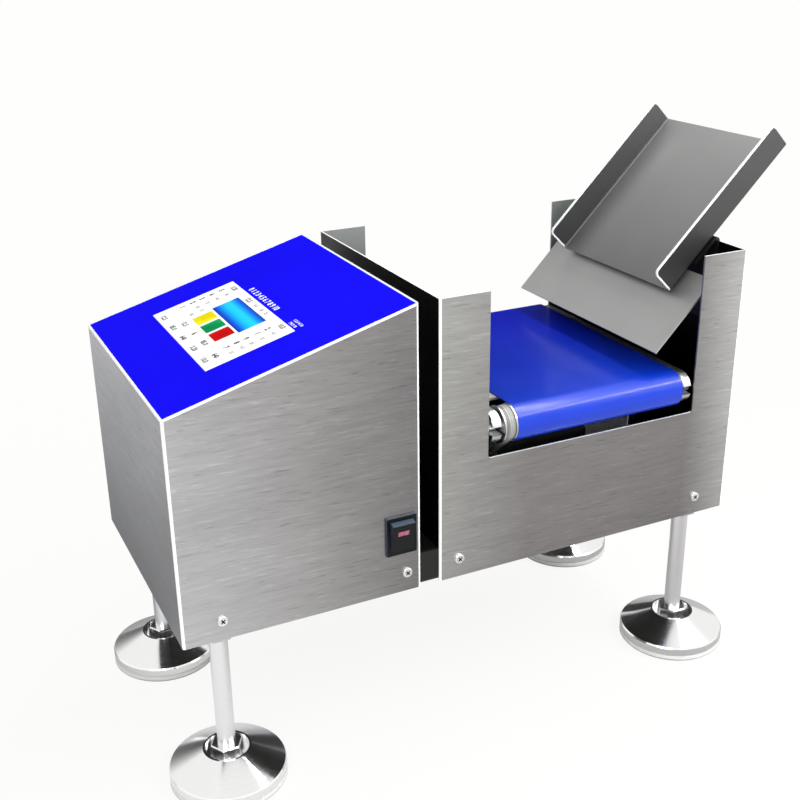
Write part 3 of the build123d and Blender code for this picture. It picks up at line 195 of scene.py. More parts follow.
def brushed_sheet(name, tones, folds=(), ends=None, inside=None, lip=False):
    """Brushed stainless with painted light and shade along X, painted highlights at the folds' X,
    painted shade up the end walls and inside, and a painted highlight along the sloping top."""
    finish, tree = new_finish(name, Metallic=1.0)
    coords = add_node(tree, "ShaderNodeTexCoord")
    place = add_node(tree, "ShaderNodeSeparateXYZ", {"Vector": coords.outputs["Object"]})
    normal = add_node(tree, "ShaderNodeSeparateXYZ", {"Vector": coords.outputs["Normal"]})
    # Grinding strokes are 0.2 mm wide, and drawn at 1 mm and 3 mm so that they show
    fine = grain(tree, (0.022, 0.022, 0.0010), 3.0, 0.6, 0.03)
    coarse = grain(tree, (0.05, 0.05, 0.0032), 3.0, 0.6, -0.02)
    cloud = grain(tree, (0.12, 0.12, 0.05), 1.0)
    stray = grain(tree, (0.017, 0.017, 0.0013), 1.0, 0.5, 0.06)
    left, right = tones[0][0], tones[-1][0]
    along = add_node(tree, "ShaderNodeMapRange", {"Value": place.outputs["X"], "From Min": left, "From Max": right})
    base = add_node(tree, "ShaderNodeValToRGB", {"Fac": along.outputs["Result"]}, [
        ((x - left) / (right - left), code) for x, code in tones
    ]).outputs["Color"]
    if ends:
        # Painted shade up the end walls: darker towards the bottom
        upward = add_node(tree, "ShaderNodeMapRange", {"Value": place.outputs["Z"], "From Min": 0.134, "From Max": 0.362})
        end_painted_shade = add_node(tree, "ShaderNodeValToRGB", {"Fac": upward.outputs["Result"]}, ends)
        sideways = add_node(tree, "ShaderNodeMath", {0: normal.outputs["X"], 1: -0.6}, operation="LESS_THAN")
        base = add_node(tree, "ShaderNodeMix", {
            0: sideways.outputs["Value"], 6: base, 7: end_painted_shade.outputs["Color"],
        }, data_type="RGBA").outputs[2]
    base = shade(tree, shade(tree, shade(tree, base, fine, 0.12), coarse, 0.13), cloud, 0.1)
    base = shade(tree, shade(tree, base, stray, 0.2, 0.27, 0.33), stray, -0.16, 0.72, 0.66)
    metal = 1.0
    if inside:
        # The inside faces look towards the middle of the box; they are painted shade, dark, less metallic and lighter
        # towards the top
        facing = add_node(tree, "ShaderNodeMath", {0: normal.outputs["Y"], 1: place.outputs["Y"]}, operation="MULTIPLY")
        inner = add_node(tree, "ShaderNodeMath", {0: facing.outputs["Value"], 1: -0.015}, operation="LESS_THAN")
        upward = add_node(tree, "ShaderNodeMapRange", {"Value": place.outputs["Z"], "From Min": 0.29, "From Max": 0.362})
        inside_shade = add_node(tree, "ShaderNodeValToRGB", {"Fac": upward.outputs["Result"]}, inside)
        base = add_node(tree, "ShaderNodeMix", {
            0: inner.outputs["Value"], 6: base, 7: inside_shade.outputs["Color"],
        }, data_type="RGBA").outputs[2]
        metal = add_node(tree, "ShaderNodeMath", {0: 1.0, 1: inner.outputs["Value"]}, operation="SUBTRACT").outputs["Value"]
    # Painted highlights: the folds' rounds, the upper cut edges and a strip beside both are painted white and made less
    # metallic
    corner = add_node(tree, "ShaderNodeMath", {0: normal.outputs["X"], 1: normal.outputs["Y"]}, operation="MULTIPLY")
    corner = add_node(tree, "ShaderNodeMath", {0: corner.outputs["Value"]}, operation="ABSOLUTE")
    corner = add_node(tree, "ShaderNodeMath", {0: corner.outputs["Value"], 1: 0.06}, operation="GREATER_THAN")
    upper = add_node(tree, "ShaderNodeMath", {0: normal.outputs["Z"], 1: 0.8}, operation="GREATER_THAN")
    edge = add_node(tree, "ShaderNodeMath", {0: corner.outputs["Value"], 1: upper.outputs["Value"]}, operation="MAXIMUM")
    for x in folds:
        strip = add_node(tree, "ShaderNodeMath", {0: place.outputs["X"], 1: x, 2: 0.0017}, operation="COMPARE")
        flank = add_node(tree, "ShaderNodeMath", {0: normal.outputs["Y"], 1: -0.6}, operation="LESS_THAN")
        strip = add_node(tree, "ShaderNodeMath", {0: strip.outputs["Value"], 1: flank.outputs["Value"]}, operation="MULTIPLY")
        edge = add_node(tree, "ShaderNodeMath", {0: edge.outputs["Value"], 1: strip.outputs["Value"]}, operation="MAXIMUM")
    if lip:
        local = add_node(tree, "ShaderNodeMapping", {
            "Vector": coords.outputs["Object"], "Location": TOP_MIDDLE, "Rotation": (0, -top_rise, 0),
        }, vector_type="TEXTURE")
        depth = add_node(tree, "ShaderNodeSeparateXYZ", {"Vector": local.outputs["Vector"]})
        strip = add_node(tree, "ShaderNodeMath", {0: depth.outputs["Z"], 1: -0.0014}, operation="GREATER_THAN")
        edge = add_node(tree, "ShaderNodeMath", {0: edge.outputs["Value"], 1: strip.outputs["Value"]}, operation="MAXIMUM")
    edge = edge.outputs["Value"]
    base = add_node(tree, "ShaderNodeMix", {0: edge, 6: base, 7: srgb("ffffff")}, data_type="RGBA").outputs[2]
    dull = add_node(tree, "ShaderNodeMath", {0: edge, 1: 0.85}, operation="MULTIPLY").outputs["Value"]
    metal = add_node(tree, "ShaderNodeMath", {0: metal, 1: dull}, operation="SUBTRACT", use_clamp=True)
    strokes = add_node(tree, "ShaderNodeMix", {0: 0.5, 2: fine, 3: coarse}).outputs[0]
    surface(tree, base, strokes, (0.32, 0.44), 0.00002)
    feed_shader(tree, Metallic=metal.outputs["Value"])
    return finish


case_left, case_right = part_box("control_casing")[0].x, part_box("housing_right_wall")[1].x
control_right, housing_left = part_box("control_casing")[1].x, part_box("housing_left_wall")[0].x
# Painted light and shade: the boxes' sheets are painted lighter and darker in tones along X
case_painted_shading = [
    (case_left, "d6d6d8"), (-0.17, "c4c2c2"), (-0.08, "a29fa0"), (-0.059, "cfd0cd"), (0.02, "aeabaa"),
    (0.17, "a09d9c"), (case_right, "d2d2d0"),
]
# Painted shade up the control box's left end: darker towards the bottom
casing_end_shade = [(0.0, "a6a6a8"), (0.4, "cdcdcf"), (0.8, "e6e6e8")]
dress(brushed_sheet(
    "brushed_stainless_case", case_painted_shading, (case_left, control_right), casing_end_shade, lip=True,
), "control_casing")

# Satin black over the folded tray, a painted shade for the dark between and under the boxes, with a faint roller
# texture.
tray_finish, tree = new_finish("satin_black_frame_shade", Specular_IOR_Level=0.3)
peel = grain(tree, (0.0015, 0.0015, 0.0015))
surface(tree, shade(tree, srgb("1f1f1d"), peel, 0.15), peel, (0.36, 0.48), 0.00003)
dress(tray_finish, "base_frame")


# CONTROL PANEL
# A 2 mm aluminium plate carries a printed polycarbonate film, blue with a satin face. The touch
# screen sits flush in both. The plate rests on the casing's folded ledge.
PANEL_PLACE = Matrix((
    (0, cos(top_rise), -sin(top_rise), TOP_MIDDLE.x),
    (-1, 0, 0, TOP_MIDDLE.y),
    (0, sin(top_rise), cos(top_rise), TOP_MIDDLE.z),
    (0, 0, 0, 1),
))

film_finish, tree = new_finish("printed_polycarbonate_film", IOR=1.12)
cloud = grain(tree, (0.09, 0.09, 0.09), 1.0)
film_tone = add_node(tree, "ShaderNodeValToRGB", {"Fac": cloud}, [(0.3, "0a01e0"), (0.7, "0c02ea")])
surface(tree, film_tone.outputs["Color"], grain(tree, (0.0006, 0.0006, 0.0006)), (0.38, 0.44), 0.000006)
dress(film_finish, "panel_overlay")

# Mill-finish aluminium, rolled or sawn: pale and soft, with fine level strokes.
aluminium_finish, tree = new_finish("mill_finish_aluminium", Metallic=1.0)
strokes = grain(tree, (0.02, 0.02, 0.0012), 3.0)
surface(tree, shade(tree, srgb("d4d5d7"), strokes, 0.14), strokes, (0.3, 0.46), 0.00001)
dress(aluminium_finish, "control_panel", "load_cell", "cell_base_block", "cell_top_block", "weigh_platform", "power_supply")

# Cover glass over a lit white page: glossy, clean and nearly even.
glass_finish, tree = new_finish("lit_screen_glass", Roughness=0.12, Emission_Strength=0.2, Emission_Color=srgb("ffffff"))
cloud = grain(tree, (0.05, 0.05, 0.05), 1.0)
page_tone = add_node(tree, "ShaderNodeValToRGB", {"Fac": cloud}, [(0.3, "f0f1f2"), (0.7, "f6f6f6")])
feed_shader(tree, Base_Color=page_tone.outputs["Color"])
dress(glass_finish, "touch_screen")


def deselect_all():
    if bpy.context.object and bpy.context.object.mode != "OBJECT":
        bpy.ops.object.mode_set(mode="OBJECT")
    bpy.ops.object.select_all(action="DESELECT")


def settle(piece, name, place, body, slot, *finishes):
    """Puts a finished piece's place in its mesh, and gives it its name, body and finishes. The slot is not used."""
    piece.data.transform(place @ piece.matrix_world)
    piece.matrix_world = Matrix.Identity(4)
    piece.name = name
    for finish in finishes:
        piece.data.materials.append(finish)
    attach(piece, body)


def pick_faces(test):
    """In edit mode, selects the faces whose middle and normal pass the test."""
    bpy.ops.mesh.select_mode(type="FACE")
    bpy.ops.mesh.select_all(action="DESELECT")
    shape = bmesh.from_edit_mesh(bpy.context.object.data)
    shape.normal_update()
    for face in shape.faces:
        face.select_set(bool(test(face.calc_center_median(), face.normal)))
    bmesh.update_edit_mesh(bpy.context.object.data)


def pick_edges(test):
    """In edit mode, selects the edges whose two ends pass the test."""
    bpy.ops.mesh.select_mode(type="EDGE")
    bpy.ops.mesh.select_all(action="DESELECT")
    shape = bmesh.from_edit_mesh(bpy.context.object.data)
    for edge in shape.edges:
        edge.select_set(bool(test(edge.verts[0].co, edge.verts[1].co)))
    bmesh.update_edit_mesh(bpy.context.object.data)


def raised_key(u, v, width, height, corner, rise=0.00012):
    """A flat key on the screen's page, with round corners and a soft top edge."""
    deselect_all()
    bpy.ops.mesh.primitive_cube_add(size=1, location=(u, v, rise / 2), scale=(width, height, rise))
    bpy.ops.object.transform_apply(location=True, rotation=False, scale=True)
    bpy.ops.object.mode_set(mode="EDIT")
    pick_edges(lambda start, end: abs(start.z - end.z) > rise / 2)
    bpy.ops.mesh.bevel(offset=corner, segments=4)
    pick_faces(lambda middle, normal: normal.z > 0.9)
    bpy.ops.mesh.inset(thickness=rise)
    bpy.ops.object.mode_set(mode="OBJECT")
    return bpy.context.object


def printed_text(text, size, u, v, weight=0.0, rise=0.00004):
    """A line of figures as a thin mesh, centred at (u, v) on the panel, its strokes widened by the weight."""
    deselect_all()
    bpy.ops.object.text_add()
    line = bpy.context.object
    line.data.body = text
    line.data.size = size
    line.data.align_x = "CENTER"
    line.data.align_y = "CENTER"
    line.data.extrude = rise / 2
    line.data.offset = weight
    line.data.resolution_u = 2
    bpy.ops.object.convert(target="MESH")
    mesh = bpy.context.object
    mesh.data.transform(Matrix.Translation((u, v, rise / 2)))
    return mesh


def join_all(pieces):
    deselect_all()
    for piece in pieces:
        piece.select_set(True)
    bpy.context.view_layer.objects.active = pieces[0]
    bpy.ops.object.join()
    return pieces[0]


# The page shows a bright window for the weight and three coloured keys. The window glows from
# deep blue at its ends to cyan in the middle.
window_finish, tree = new_finish("screen_window_glow", Roughness=0.2, Emission_Strength=0.25)
coords = add_node(tree, "ShaderNodeTexCoord").outputs["Object"]
across = add_node(tree, "ShaderNodeSeparateXYZ", {"Vector": coords}).outputs["X"]
window_low, window_high = TOP_MIDDLE.x - 0.0126 * cos(top_rise), TOP_MIDDLE.x + 0.0097 * cos(top_rise)
across = add_node(tree, "ShaderNodeMapRange", {"Value": across, "From Min": window_low, "From Max": window_high})
glow = add_node(tree, "ShaderNodeValToRGB", {"Fac": across.outputs["Result"]}, [
    (0.0, "0a1c96"), (0.16, "0a5fd8"), (0.42, "16b9f2"), (0.62, "1fc4f4"), (0.85, "0a6fe0"), (1.0, "0a2a9c"),
]).outputs["Color"]
feed_shader(tree, Base_Color=glow, Emission_Color=glow)
settle(raised_key(-0.0024, -0.00145, 0.064, 0.0222, 0.0006), "screen_window", PANEL_PLACE, "root", "screen", window_finish)

for name, dark, light, u in (
    ("yellow", "d8c804", "ecdf12", -0.0224),
    ("green", "068046", "10a05a", -0.0019),
    ("red", "b00409", "c80a0e", 0.0186),
):
    key_finish, tree = new_finish(f"screen_key_{name}", Roughness=0.3, IOR=1.2, Emission_Strength=0.12)
    cloud = grain(tree, (0.012, 0.012, 0.012), 1.0)
    lit = add_node(tree, "ShaderNodeValToRGB", {"Fac": cloud}, [(0.35, dark), (0.65, light)]).outputs["Color"]
    feed_shader(tree, Base_Color=lit, Emission_Color=lit)
    settle(raised_key(u, -0.0226, 0.0168, 0.0162, 0.0008), f"screen_key_{name}", PANEL_PLACE, "root", "screen", key_finish)

# Plain figures round the page, and white figures printed on the film beside it.
ink_finish, tree = new_finish("grey_print_ink", Roughness=0.5)
feed_shader(tree, Base_Color=shade(tree, srgb("3a3d40"), grain(tree, (0.001, 0.001, 0.001)), 0.2))
figures = []
large = [(-0.0567, -0.0463), (-0.0301, -0.0466), (-0.0039, -0.0464), (0.0224, -0.0462), (0.0492, -0.0465)]
large += [(-0.0279, -0.0377), (0.0209, -0.0373), (0.0500, -0.0382), (-0.0552, 0.0135), (0.0503, 0.0138), (-0.0204, 0.0136)]
for count, (u, v) in enumerate(large):
    figures.append(printed_text(["12.5", "85.0", "640", "3.20", "10.0"][count % 5], 0.0056, u, v, 0.00022))
small = [(-0.0626, v) for v in (-0.0288, -0.0200, -0.0121, -0.0037, 0.0049)] + [(-0.0031, -0.0376)]
small += [(0.0444, v) for v in (-0.0280, -0.0197, -0.0122, -0.0030, 0.0049)]
for count, (u, v) in enumerate(small):
    figures.append(printed_text(str(count % 9 + 1), 0.0062, u, v, 0.0003))
faint = [(-0.0495, v) for v in (-0.0199, -0.0115, -0.0032, 0.0049)] + [(0.0562, v) for v in (-0.0280, -0.0195, -0.0120, -0.0037, 0.0053)]
faint += [(-0.0403, -0.0282), (-0.0400, -0.0194), (-0.0044, 0.0138), (0.0080, 0.0138), (0.0173, 0.0140)]
for count, (u, v) in enumerate(faint):
    figures.append(printed_text(["00", "25", "4.0"][count % 3], 0.0042, u, v, 0.00005))
settle(join_all(figures), "screen_figures", PANEL_PLACE, "root", "screen", ink_finish)

# The white ink also glows faintly, a painted glow, though the film has no lamp behind it
white_ink_finish, tree = new_finish("white_print_ink", Roughness=0.45, Emission_Strength=0.1, Emission_Color=srgb("ffffff"))
feed_shader(tree, Base_Color=shade(tree, srgb("f4f5ff"), grain(tree, (0.001, 0.001, 0.001)), 0.1))
figures = [printed_text("0 1 2 3 4 5 6 7 8 9 10", 0.0068, -0.0108, 0.0228, 0.0002)]
figures.append(printed_text("1 2 3 4 5 6", 0.0036, 0.0570, 0.0248, 0.0001))
figures.append(printed_text("7 8 9 10", 0.0036, 0.0560, 0.0206, 0.0001))
settle(join_all(figures), "film_figures", PANEL_PLACE, "root", "panel_film", white_ink_finish)


# CONTROL ELECTRONICS
# Inside the box a green glass-fibre board stands on hexagon stand-offs beside a caged supply.
# The board's terminals are grey, its processor black and its relays blue.
board_finish, tree = new_finish("glass_fibre_board", Roughness=0.45)
coords = add_node(tree, "ShaderNodeTexCoord").outputs["Object"]
place = add_node(tree, "ShaderNodeSeparateXYZ", {"Vector": coords})
tracks = add_node(tree, "ShaderNodeTexBrick", {
    "Vector": coords, "Color1": srgb("0d5a35"), "Color2": srgb("11683d"), "Mortar": srgb("2f8f58"),
    "Scale": 60.0, "Mortar Size": 0.012,
})
raised = add_node(tree, "ShaderNodeMath", {0: place.outputs["Z"], 1: 0.1486}, operation="GREATER_THAN")
along = add_node(tree, "ShaderNodeMapRange", {"Value": place.outputs["Y"], "From Min": -0.06, "From Max": 0.01})
parts = add_node(tree, "ShaderNodeValToRGB", {"Fac": along.outputs["Result"]}, [
    (0.0, "9ba09c"), (0.28, "a5aaa6"), (0.3, "1c1d1f"), (0.55, "1d1e20"), (0.57, "1d3f8c"), (1.0, "204696"),
])
parts.color_ramp.interpolation = "CONSTANT"
board_tone = add_node(tree, "ShaderNodeMix", {
    0: raised.outputs["Value"], 6: tracks.outputs["Color"], 7: parts.outputs["Color"],
}, data_type="RGBA")
feed_shader(tree, Base_Color=board_tone.outputs[2])
dress(board_finish, "controller_board")


# ROCKER SWITCH AND MAINS INLET
# A black glass-filled nylon bezel snaps into the front wall, with a rocker and a red lamp
# window. The mains inlet snaps into the back wall. Both are moulded, with a fine spark grain.
nylon_finish, tree = new_finish("moulded_black_nylon", Specular_IOR_Level=0.3)
normal = add_node(tree, "ShaderNodeSeparateXYZ", {"Vector": add_node(tree, "ShaderNodeTexCoord").outputs["Normal"]})
lumps = grain(tree, (0.0004, 0.0004, 0.0004))
nylon = shade(tree, srgb("07080d"), lumps, 0.3)
# Painted reflections: the upper and left flanks are painted slate grey by the way they face
for facing, tone in (
    (add_node(tree, "ShaderNodeMapRange", {"Value": normal.outputs["Z"], "From Min": 0.3, "From Max": 0.8}), "46525f"),
    (add_node(tree, "ShaderNodeMapRange", {"Value": normal.outputs["X"], "From Min": -0.3, "From Max": -0.8}), "2c3744"),
):
    nylon = add_node(tree, "ShaderNodeMix", {
        0: facing.outputs["Result"], 6: nylon, 7: srgb(tone),
    }, data_type="RGBA").outputs[2]
surface(tree, nylon, lumps, (0.2, 0.32), 0.00001)
dress(nylon_finish, "switch_body", "switch_rocker", "mains_inlet")

lamp_finish, tree = new_finish("red_lamp_window", Roughness=0.18, Emission_Strength=0.1, Emission_Color=srgb("a85068"))
cloud = grain(tree, (0.002, 0.002, 0.002))
lamp_tone = add_node(tree, "ShaderNodeValToRGB", {"Fac": cloud}, [(0.35, "84384e"), (0.65, "ac6c80")])
feed_shader(tree, Base_Color=lamp_tone.outputs["Color"])
dress(lamp_finish, "switch_lamp")


# WEIGHING HOUSING
# Four brushed stainless walls welded at their corners stand round the conveyor. The front and
# back have a U-shaped notch, and the inside faces are painted shade, dark and lighter towards the top.
dress(brushed_sheet(
    "brushed_stainless_housing", case_painted_shading, (housing_left,), inside=[(0.0, "3e423e"), (1.0, "8f948f")],
), "housing_front_wall", "housing_back_wall")
# The left wall is painted shade: dark, for the narrow gap between the boxes
dress(brushed_sheet("shaded_stainless_wall", [(housing_left, "2e2e2c"), (case_right, "8e8e8c")]), "housing_left_wall")
# The right wall's inner face is painted shade, near black; its outer face is brushed steel
dress(brushed_sheet("brushed_stainless_end", [
    (0.2148, "1b1b1b"), (0.2155, "1b1b1b"), (0.2158, "b0b0b0"), (case_right, "b4b4b4"),
]), "housing_right_wall")


# SCREWS
# Pan-head machine screws of polished stainless, with a cross recess, hold the boxes to the tray
# and the brackets to the end wall. The axles have socket-head screws with a hexagon recess.
screw_finish, tree = new_finish("polished_screw_steel", Metallic=0.8)
lumps = grain(tree, (0.0015, 0.0015, 0.0015))
surface(tree, shade(tree, srgb("f0f0f0"), lumps, 0.15), lumps, (0.12, 0.22))

# The recesses' walls are painted near black, a painted shade in the hollows.
recess_finish, tree = new_finish("recess_painted_shade", Metallic=1.0)
surface(tree, shade(tree, srgb("161616"), grain(tree, (0.0006, 0.0006, 0.0006)), 0.3), grain(tree, (0.0006, 0.0006, 0.0006)), (0.4, 0.5))


def headed_screw(head_radius, head_height, dome, shank_radius, shank_length):
    """A screw with a domed head on +Z, whose seat is at z = 0, and a shank with turned threads below."""
    deselect_all()
    bpy.ops.mesh.primitive_cylinder_add(vertices=32, radius=head_radius, depth=head_height, location=(0, 0, head_height / 2))
    bpy.ops.object.transform_apply(location=True, rotation=False, scale=False)
    bpy.ops.object.mode_set(mode="EDIT")
    pick_edges(lambda start, end: min(start.z, end.z) > head_height * 0.99)
    bpy.ops.mesh.bevel(offset=dome, segments=5, profile=0.5)
    pick_faces(lambda middle, normal: normal.z < -0.9)
    bpy.ops.mesh.inset(thickness=head_radius - shank_radius)
    for turn in range(6):
        for grow in (0.82, 1 / 0.82):
            bpy.ops.mesh.extrude_region_move(TRANSFORM_OT_translate={"value": (0, 0, -shank_length / 12)})
            bpy.ops.transform.resize(value=(grow, grow, 1))
    bpy.ops.object.mode_set(mode="OBJECT")
    screw = bpy.context.object
    screw.data.materials.append(screw_finish)
    screw.data.materials.append(recess_finish)
    return screw


def cross_cutters(reach, width, depth, top):
    """Two tapered blades that make a cross recess in a head whose top is at the height given."""
    blades = []
    for size in ((2 * reach, width, 2 * depth), (width, 2 * reach, 2 * depth)):
        deselect_all()
        bpy.ops.mesh.primitive_cube_add(size=1, location=(0, 0, top), scale=size)
        bpy.ops.object.transform_apply(location=True, rotation=False, scale=True)
        bpy.ops.object.mode_set(mode="EDIT")
        pick_faces(lambda middle, normal: normal.z < -0.9)
        bpy.ops.transform.resize(value=(0.45, 0.45, 1))
        bpy.ops.object.mode_set(mode="OBJECT")
        blades.append(bpy.context.object)
    return blades


def hexagon_cutter(radius, depth, top):
    deselect_all()
    bpy.ops.mesh.primitive_cylinder_add(vertices=6, radius=radius, depth=2 * depth, location=(0, 0, top))
    bpy.ops.object.transform_apply(location=True, rotation=False, scale=False)
    return [bpy.context.object]


def cut_recess(piece, cutters, reach, top):
    """Cuts the recess out of a head with the cutters, which are then gone, and gives its walls painted shade."""
    for cutter in cutters:
        cut = piece.modifiers.new("recess", "BOOLEAN")
        cut.operation = "DIFFERENCE"
        cut.solver = "EXACT"
        cut.object = cutter
        deselect_all()
        piece.select_set(True)
        bpy.context.view_layer.objects.active = piece
        bpy.ops.object.modifier_apply(modifier=cut.name)
        bpy.data.objects.remove(cutter)
    bpy.ops.object.mode_set(mode="EDIT")
    pick_faces(lambda middle, normal: middle.xy.length < reach and 0 < middle.z < top * 0.97)
    piece.active_material_index = 1
    bpy.ops.object.material_slot_assign()
    deselect_all()
    piece.select_set(True)
    bpy.ops.object.shade_smooth_by_angle(angle=radians(35))


def copies_at(piece, places):
    """One mesh of copies of the piece, one at each place."""
    copies = []
    for place in places:
        copy = piece.copy()
        copy.data = piece.data.copy()
        copy.data.transform(place)
        bpy.context.scene.collection.objects.link(copy)
        copies.append(copy)
    bpy.data.objects.remove(piece)
    return join_all(copies)


facing_front = Matrix.Rotation(radians(90), 4, "X")
facing_back = Matrix.Rotation(radians(-90), 4, "X")
facing_right = Matrix.Rotation(radians(90), 4, "Y")
facing_left = Matrix.Rotation(radians(-90), 4, "Y")

pan_screw = headed_screw(0.0040, 0.0022, 0.0009, 0.0020, 0.0067)
cut_recess(pan_screw, cross_cutters(0.0029, 0.0014, 0.0016, 0.0022), 0.0029, 0.0022)
case_screw_places = []
for x in (-0.233694, -0.087694, -0.042694, 0.185306):
    case_screw_places.append(Matrix.Translation((x, -0.110, 0.150)) @ facing_front @ Matrix.Rotation(radians(40), 4, "Z"))
    case_screw_places.append(Matrix.Translation((x, 0.110, 0.150)) @ facing_back @ Matrix.Rotation(radians(12), 4, "Z"))
pan_screws = copies_at(pan_screw, case_screw_places)
settle(pan_screws, "case_pan_screws", Matrix.Identity(4), "root", "bright_steel")
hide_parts("casing_screws")

bracket_screw = headed_screw(0.0045, 0.0025, 0.0010, 0.0025, 0.0085)
cut_recess(bracket_screw, cross_cutters(0.0031, 0.0015, 0.0018, 0.0025), 0.0031, 0.0025)
bracket_pans = copies_at(bracket_screw, [
    Matrix.Translation((0.216306, y, z)) @ facing_right @ Matrix.Rotation(radians(20), 4, "Z")
    for y, z in ((-0.056, 0.310), (0.056, 0.310), (-0.025, 0.330), (0.025, 0.330))
])
settle(bracket_pans, "bracket_pan_screws", Matrix.Identity(4), "root", "bright_steel")
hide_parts("bracket_screws")

axle_screw = headed_screw(0.0060, 0.0035, 0.0008, 0.0025, 0.0110)
cut_recess(axle_screw, hexagon_cutter(0.0029, 0.0022, 0.0035), 0.0029, 0.0035)
axle_sockets = copies_at(axle_screw, [
    Matrix.Translation((x, y, 0.251)) @ turned
    for x, turned in ((-0.014694, facing_left), (0.171306, facing_right))
    for y in (-0.0983, 0.0983)
])
settle(axle_sockets, "axle_socket_screws", Matrix.Identity(4), "weigh_frame", "bright_steel")
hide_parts("axle_screws")


# CHUTE, GUIDE PLATE AND THEIR BRACKETS
# Smooth 2B stainless sheet, cut and folded, with no grinding strokes. The cut edges have painted highlights, white, and
# the tones up the sheets are painted shade.
def smooth_sheet(name, low, high, low_tone, high_tone, foot=None, slope=0.0, walls=None, metal=0.75):
    """Cold-rolled sheet with painted shade, whose tone goes from low to high in Z, and other painted shade on upright
    walls.
    With a foot and a slope it also has painted highlights, white, on the cut edges round a folded trough."""
    finish, tree = new_finish(name)
    coords = add_node(tree, "ShaderNodeTexCoord")
    place = add_node(tree, "ShaderNodeSeparateXYZ", {"Vector": coords.outputs["Object"]})
    normal = add_node(tree, "ShaderNodeSeparateXYZ", {"Vector": coords.outputs["Normal"]})
    upward = add_node(tree, "ShaderNodeMapRange", {"Value": place.outputs["Z"], "From Min": low, "From Max": high}).outputs["Result"]
    base = add_node(tree, "ShaderNodeValToRGB", {"Fac": upward}, [(0.0, low_tone), (1.0, high_tone)]).outputs["Color"]
    shine = metal
    if foot:
        local = add_node(tree, "ShaderNodeMapping", {
            "Vector": coords.outputs["Object"], "Location": foot, "Rotation": (0, -slope, 0),
        }, vector_type="TEXTURE")
        trough = add_node(tree, "ShaderNodeSeparateXYZ", {"Vector": local.outputs["Vector"]})
        flank = add_node(tree, "ShaderNodeMath", {0: normal.outputs["Y"]}, operation="ABSOLUTE")
        flank = add_node(tree, "ShaderNodeMath", {0: flank.outputs["Value"], 1: 0.6}, operation="GREATER_THAN").outputs["Value"]
        wall_tone = add_node(tree, "ShaderNodeValToRGB", {"Fac": upward}, [(0.0, walls[0]), (1.0, walls[1])])
        base = add_node(tree, "ShaderNodeMix", {0: flank, 6: base, 7: wall_tone.outputs["Color"]}, data_type="RGBA").outputs[2]
        # The painted highlight follows the wall's lower corner, a round of 5 mm
        back = add_node(tree, "ShaderNodeMath", {0: 0.005, 1: trough.outputs["X"]}, operation="SUBTRACT")
        back = add_node(tree, "ShaderNodeMath", {0: back.outputs["Value"], 1: 0.0}, operation="MAXIMUM")
        above = add_node(tree, "ShaderNodeMath", {0: trough.outputs["Z"], 1: 0.0195}, operation="SUBTRACT")
        above = add_node(tree, "ShaderNodeMath", {0: above.outputs["Value"], 1: 0.0}, operation="MAXIMUM")
        reach = add_node(tree, "ShaderNodeCombineXYZ", {"X": back.outputs["Value"], "Y": above.outputs["Value"]})
        reach = add_node(tree, "ShaderNodeVectorMath", {0: reach.outputs["Vector"]}, operation="LENGTH")
        rim = add_node(tree, "ShaderNodeMath", {0: reach.outputs["Value"], 1: 0.0037}, operation="GREATER_THAN")
        outside = add_node(tree, "ShaderNodeMath", {0: place.outputs["Y"]}, operation="ABSOLUTE")
        outside = add_node(tree, "ShaderNodeMath", {0: outside.outputs["Value"], 1: 0.0759}, operation="GREATER_THAN")
        rim = add_node(tree, "ShaderNodeMath", {0: rim.outputs["Value"], 1: outside.outputs["Value"]}, operation="MULTIPLY").outputs["Value"]
        base = add_node(tree, "ShaderNodeMix", {0: rim, 6: base, 7: srgb("ffffff")}, data_type="RGBA").outputs[2]
        shine = add_node(tree, "ShaderNodeMapRange", {"Value": rim, "To Min": metal, "To Max": 0.0}).outputs["Result"]
        feed_shader(tree, Metallic=shine)
    else:
        tree.nodes["Principled BSDF"].inputs["Metallic"].default_value = metal
    cloud = grain(tree, (0.04, 0.04, 0.04), 2.0)
    surface(tree, shade(tree, base, cloud, 0.05), grain(tree, (0.0006, 0.0006, 0.0006), 1.0), (0.42, 0.5), 0.000004)
    return finish


# The chute is painted shade: darker towards the bottom, and darker still on its walls
dress(smooth_sheet(
    "cold_rolled_chute", 0.325, 0.449, "7e7f7e", "b4b5b4", (0.169506, 0, 0.3256), radians(45), ("4a4b4a", "606160"),
), "chute")
# The guide plate is painted a little darker towards its top, a painted shade under the chute's foot
dress(smooth_sheet("cold_rolled_guide", 0.284, 0.339, "b6b6b5", "b0b0af"), "guide_plate")
# The brackets are painted dark grey, a painted shade under the chute
dress(smooth_sheet("cold_rolled_brackets", 0.29, 0.37, "3c3c3c", "3f3f3f", metal=1.0), "chute_bracket", "guide_bracket")


# WEIGH CONVEYOR
# Two anodised side plates carry the rollers, bed, belt and drive, all on the load cell.
# The plates are 8 mm aluminium, milled and anodised in a pale natural colour.
plate_finish, tree = new_finish("natural_anodised_plate", Metallic=1.0)
strokes = grain(tree, (0.0015, 0.02, 0.0012), 2.0)
surface(tree, shade(tree, srgb("dfe0e0"), strokes, 0.1), strokes, (0.26, 0.4), 0.000008)
dress(plate_finish, "side_plate_left", "side_plate_right")

# The bed, bars and bracket are painted shade, darker towards the bottom under the belt
dress(smooth_sheet("folded_bed_sheet", 0.23, 0.265, "c9c9c9", "dededd", metal=1.0), "slider_bed", "cross_bars", "motor_bracket")

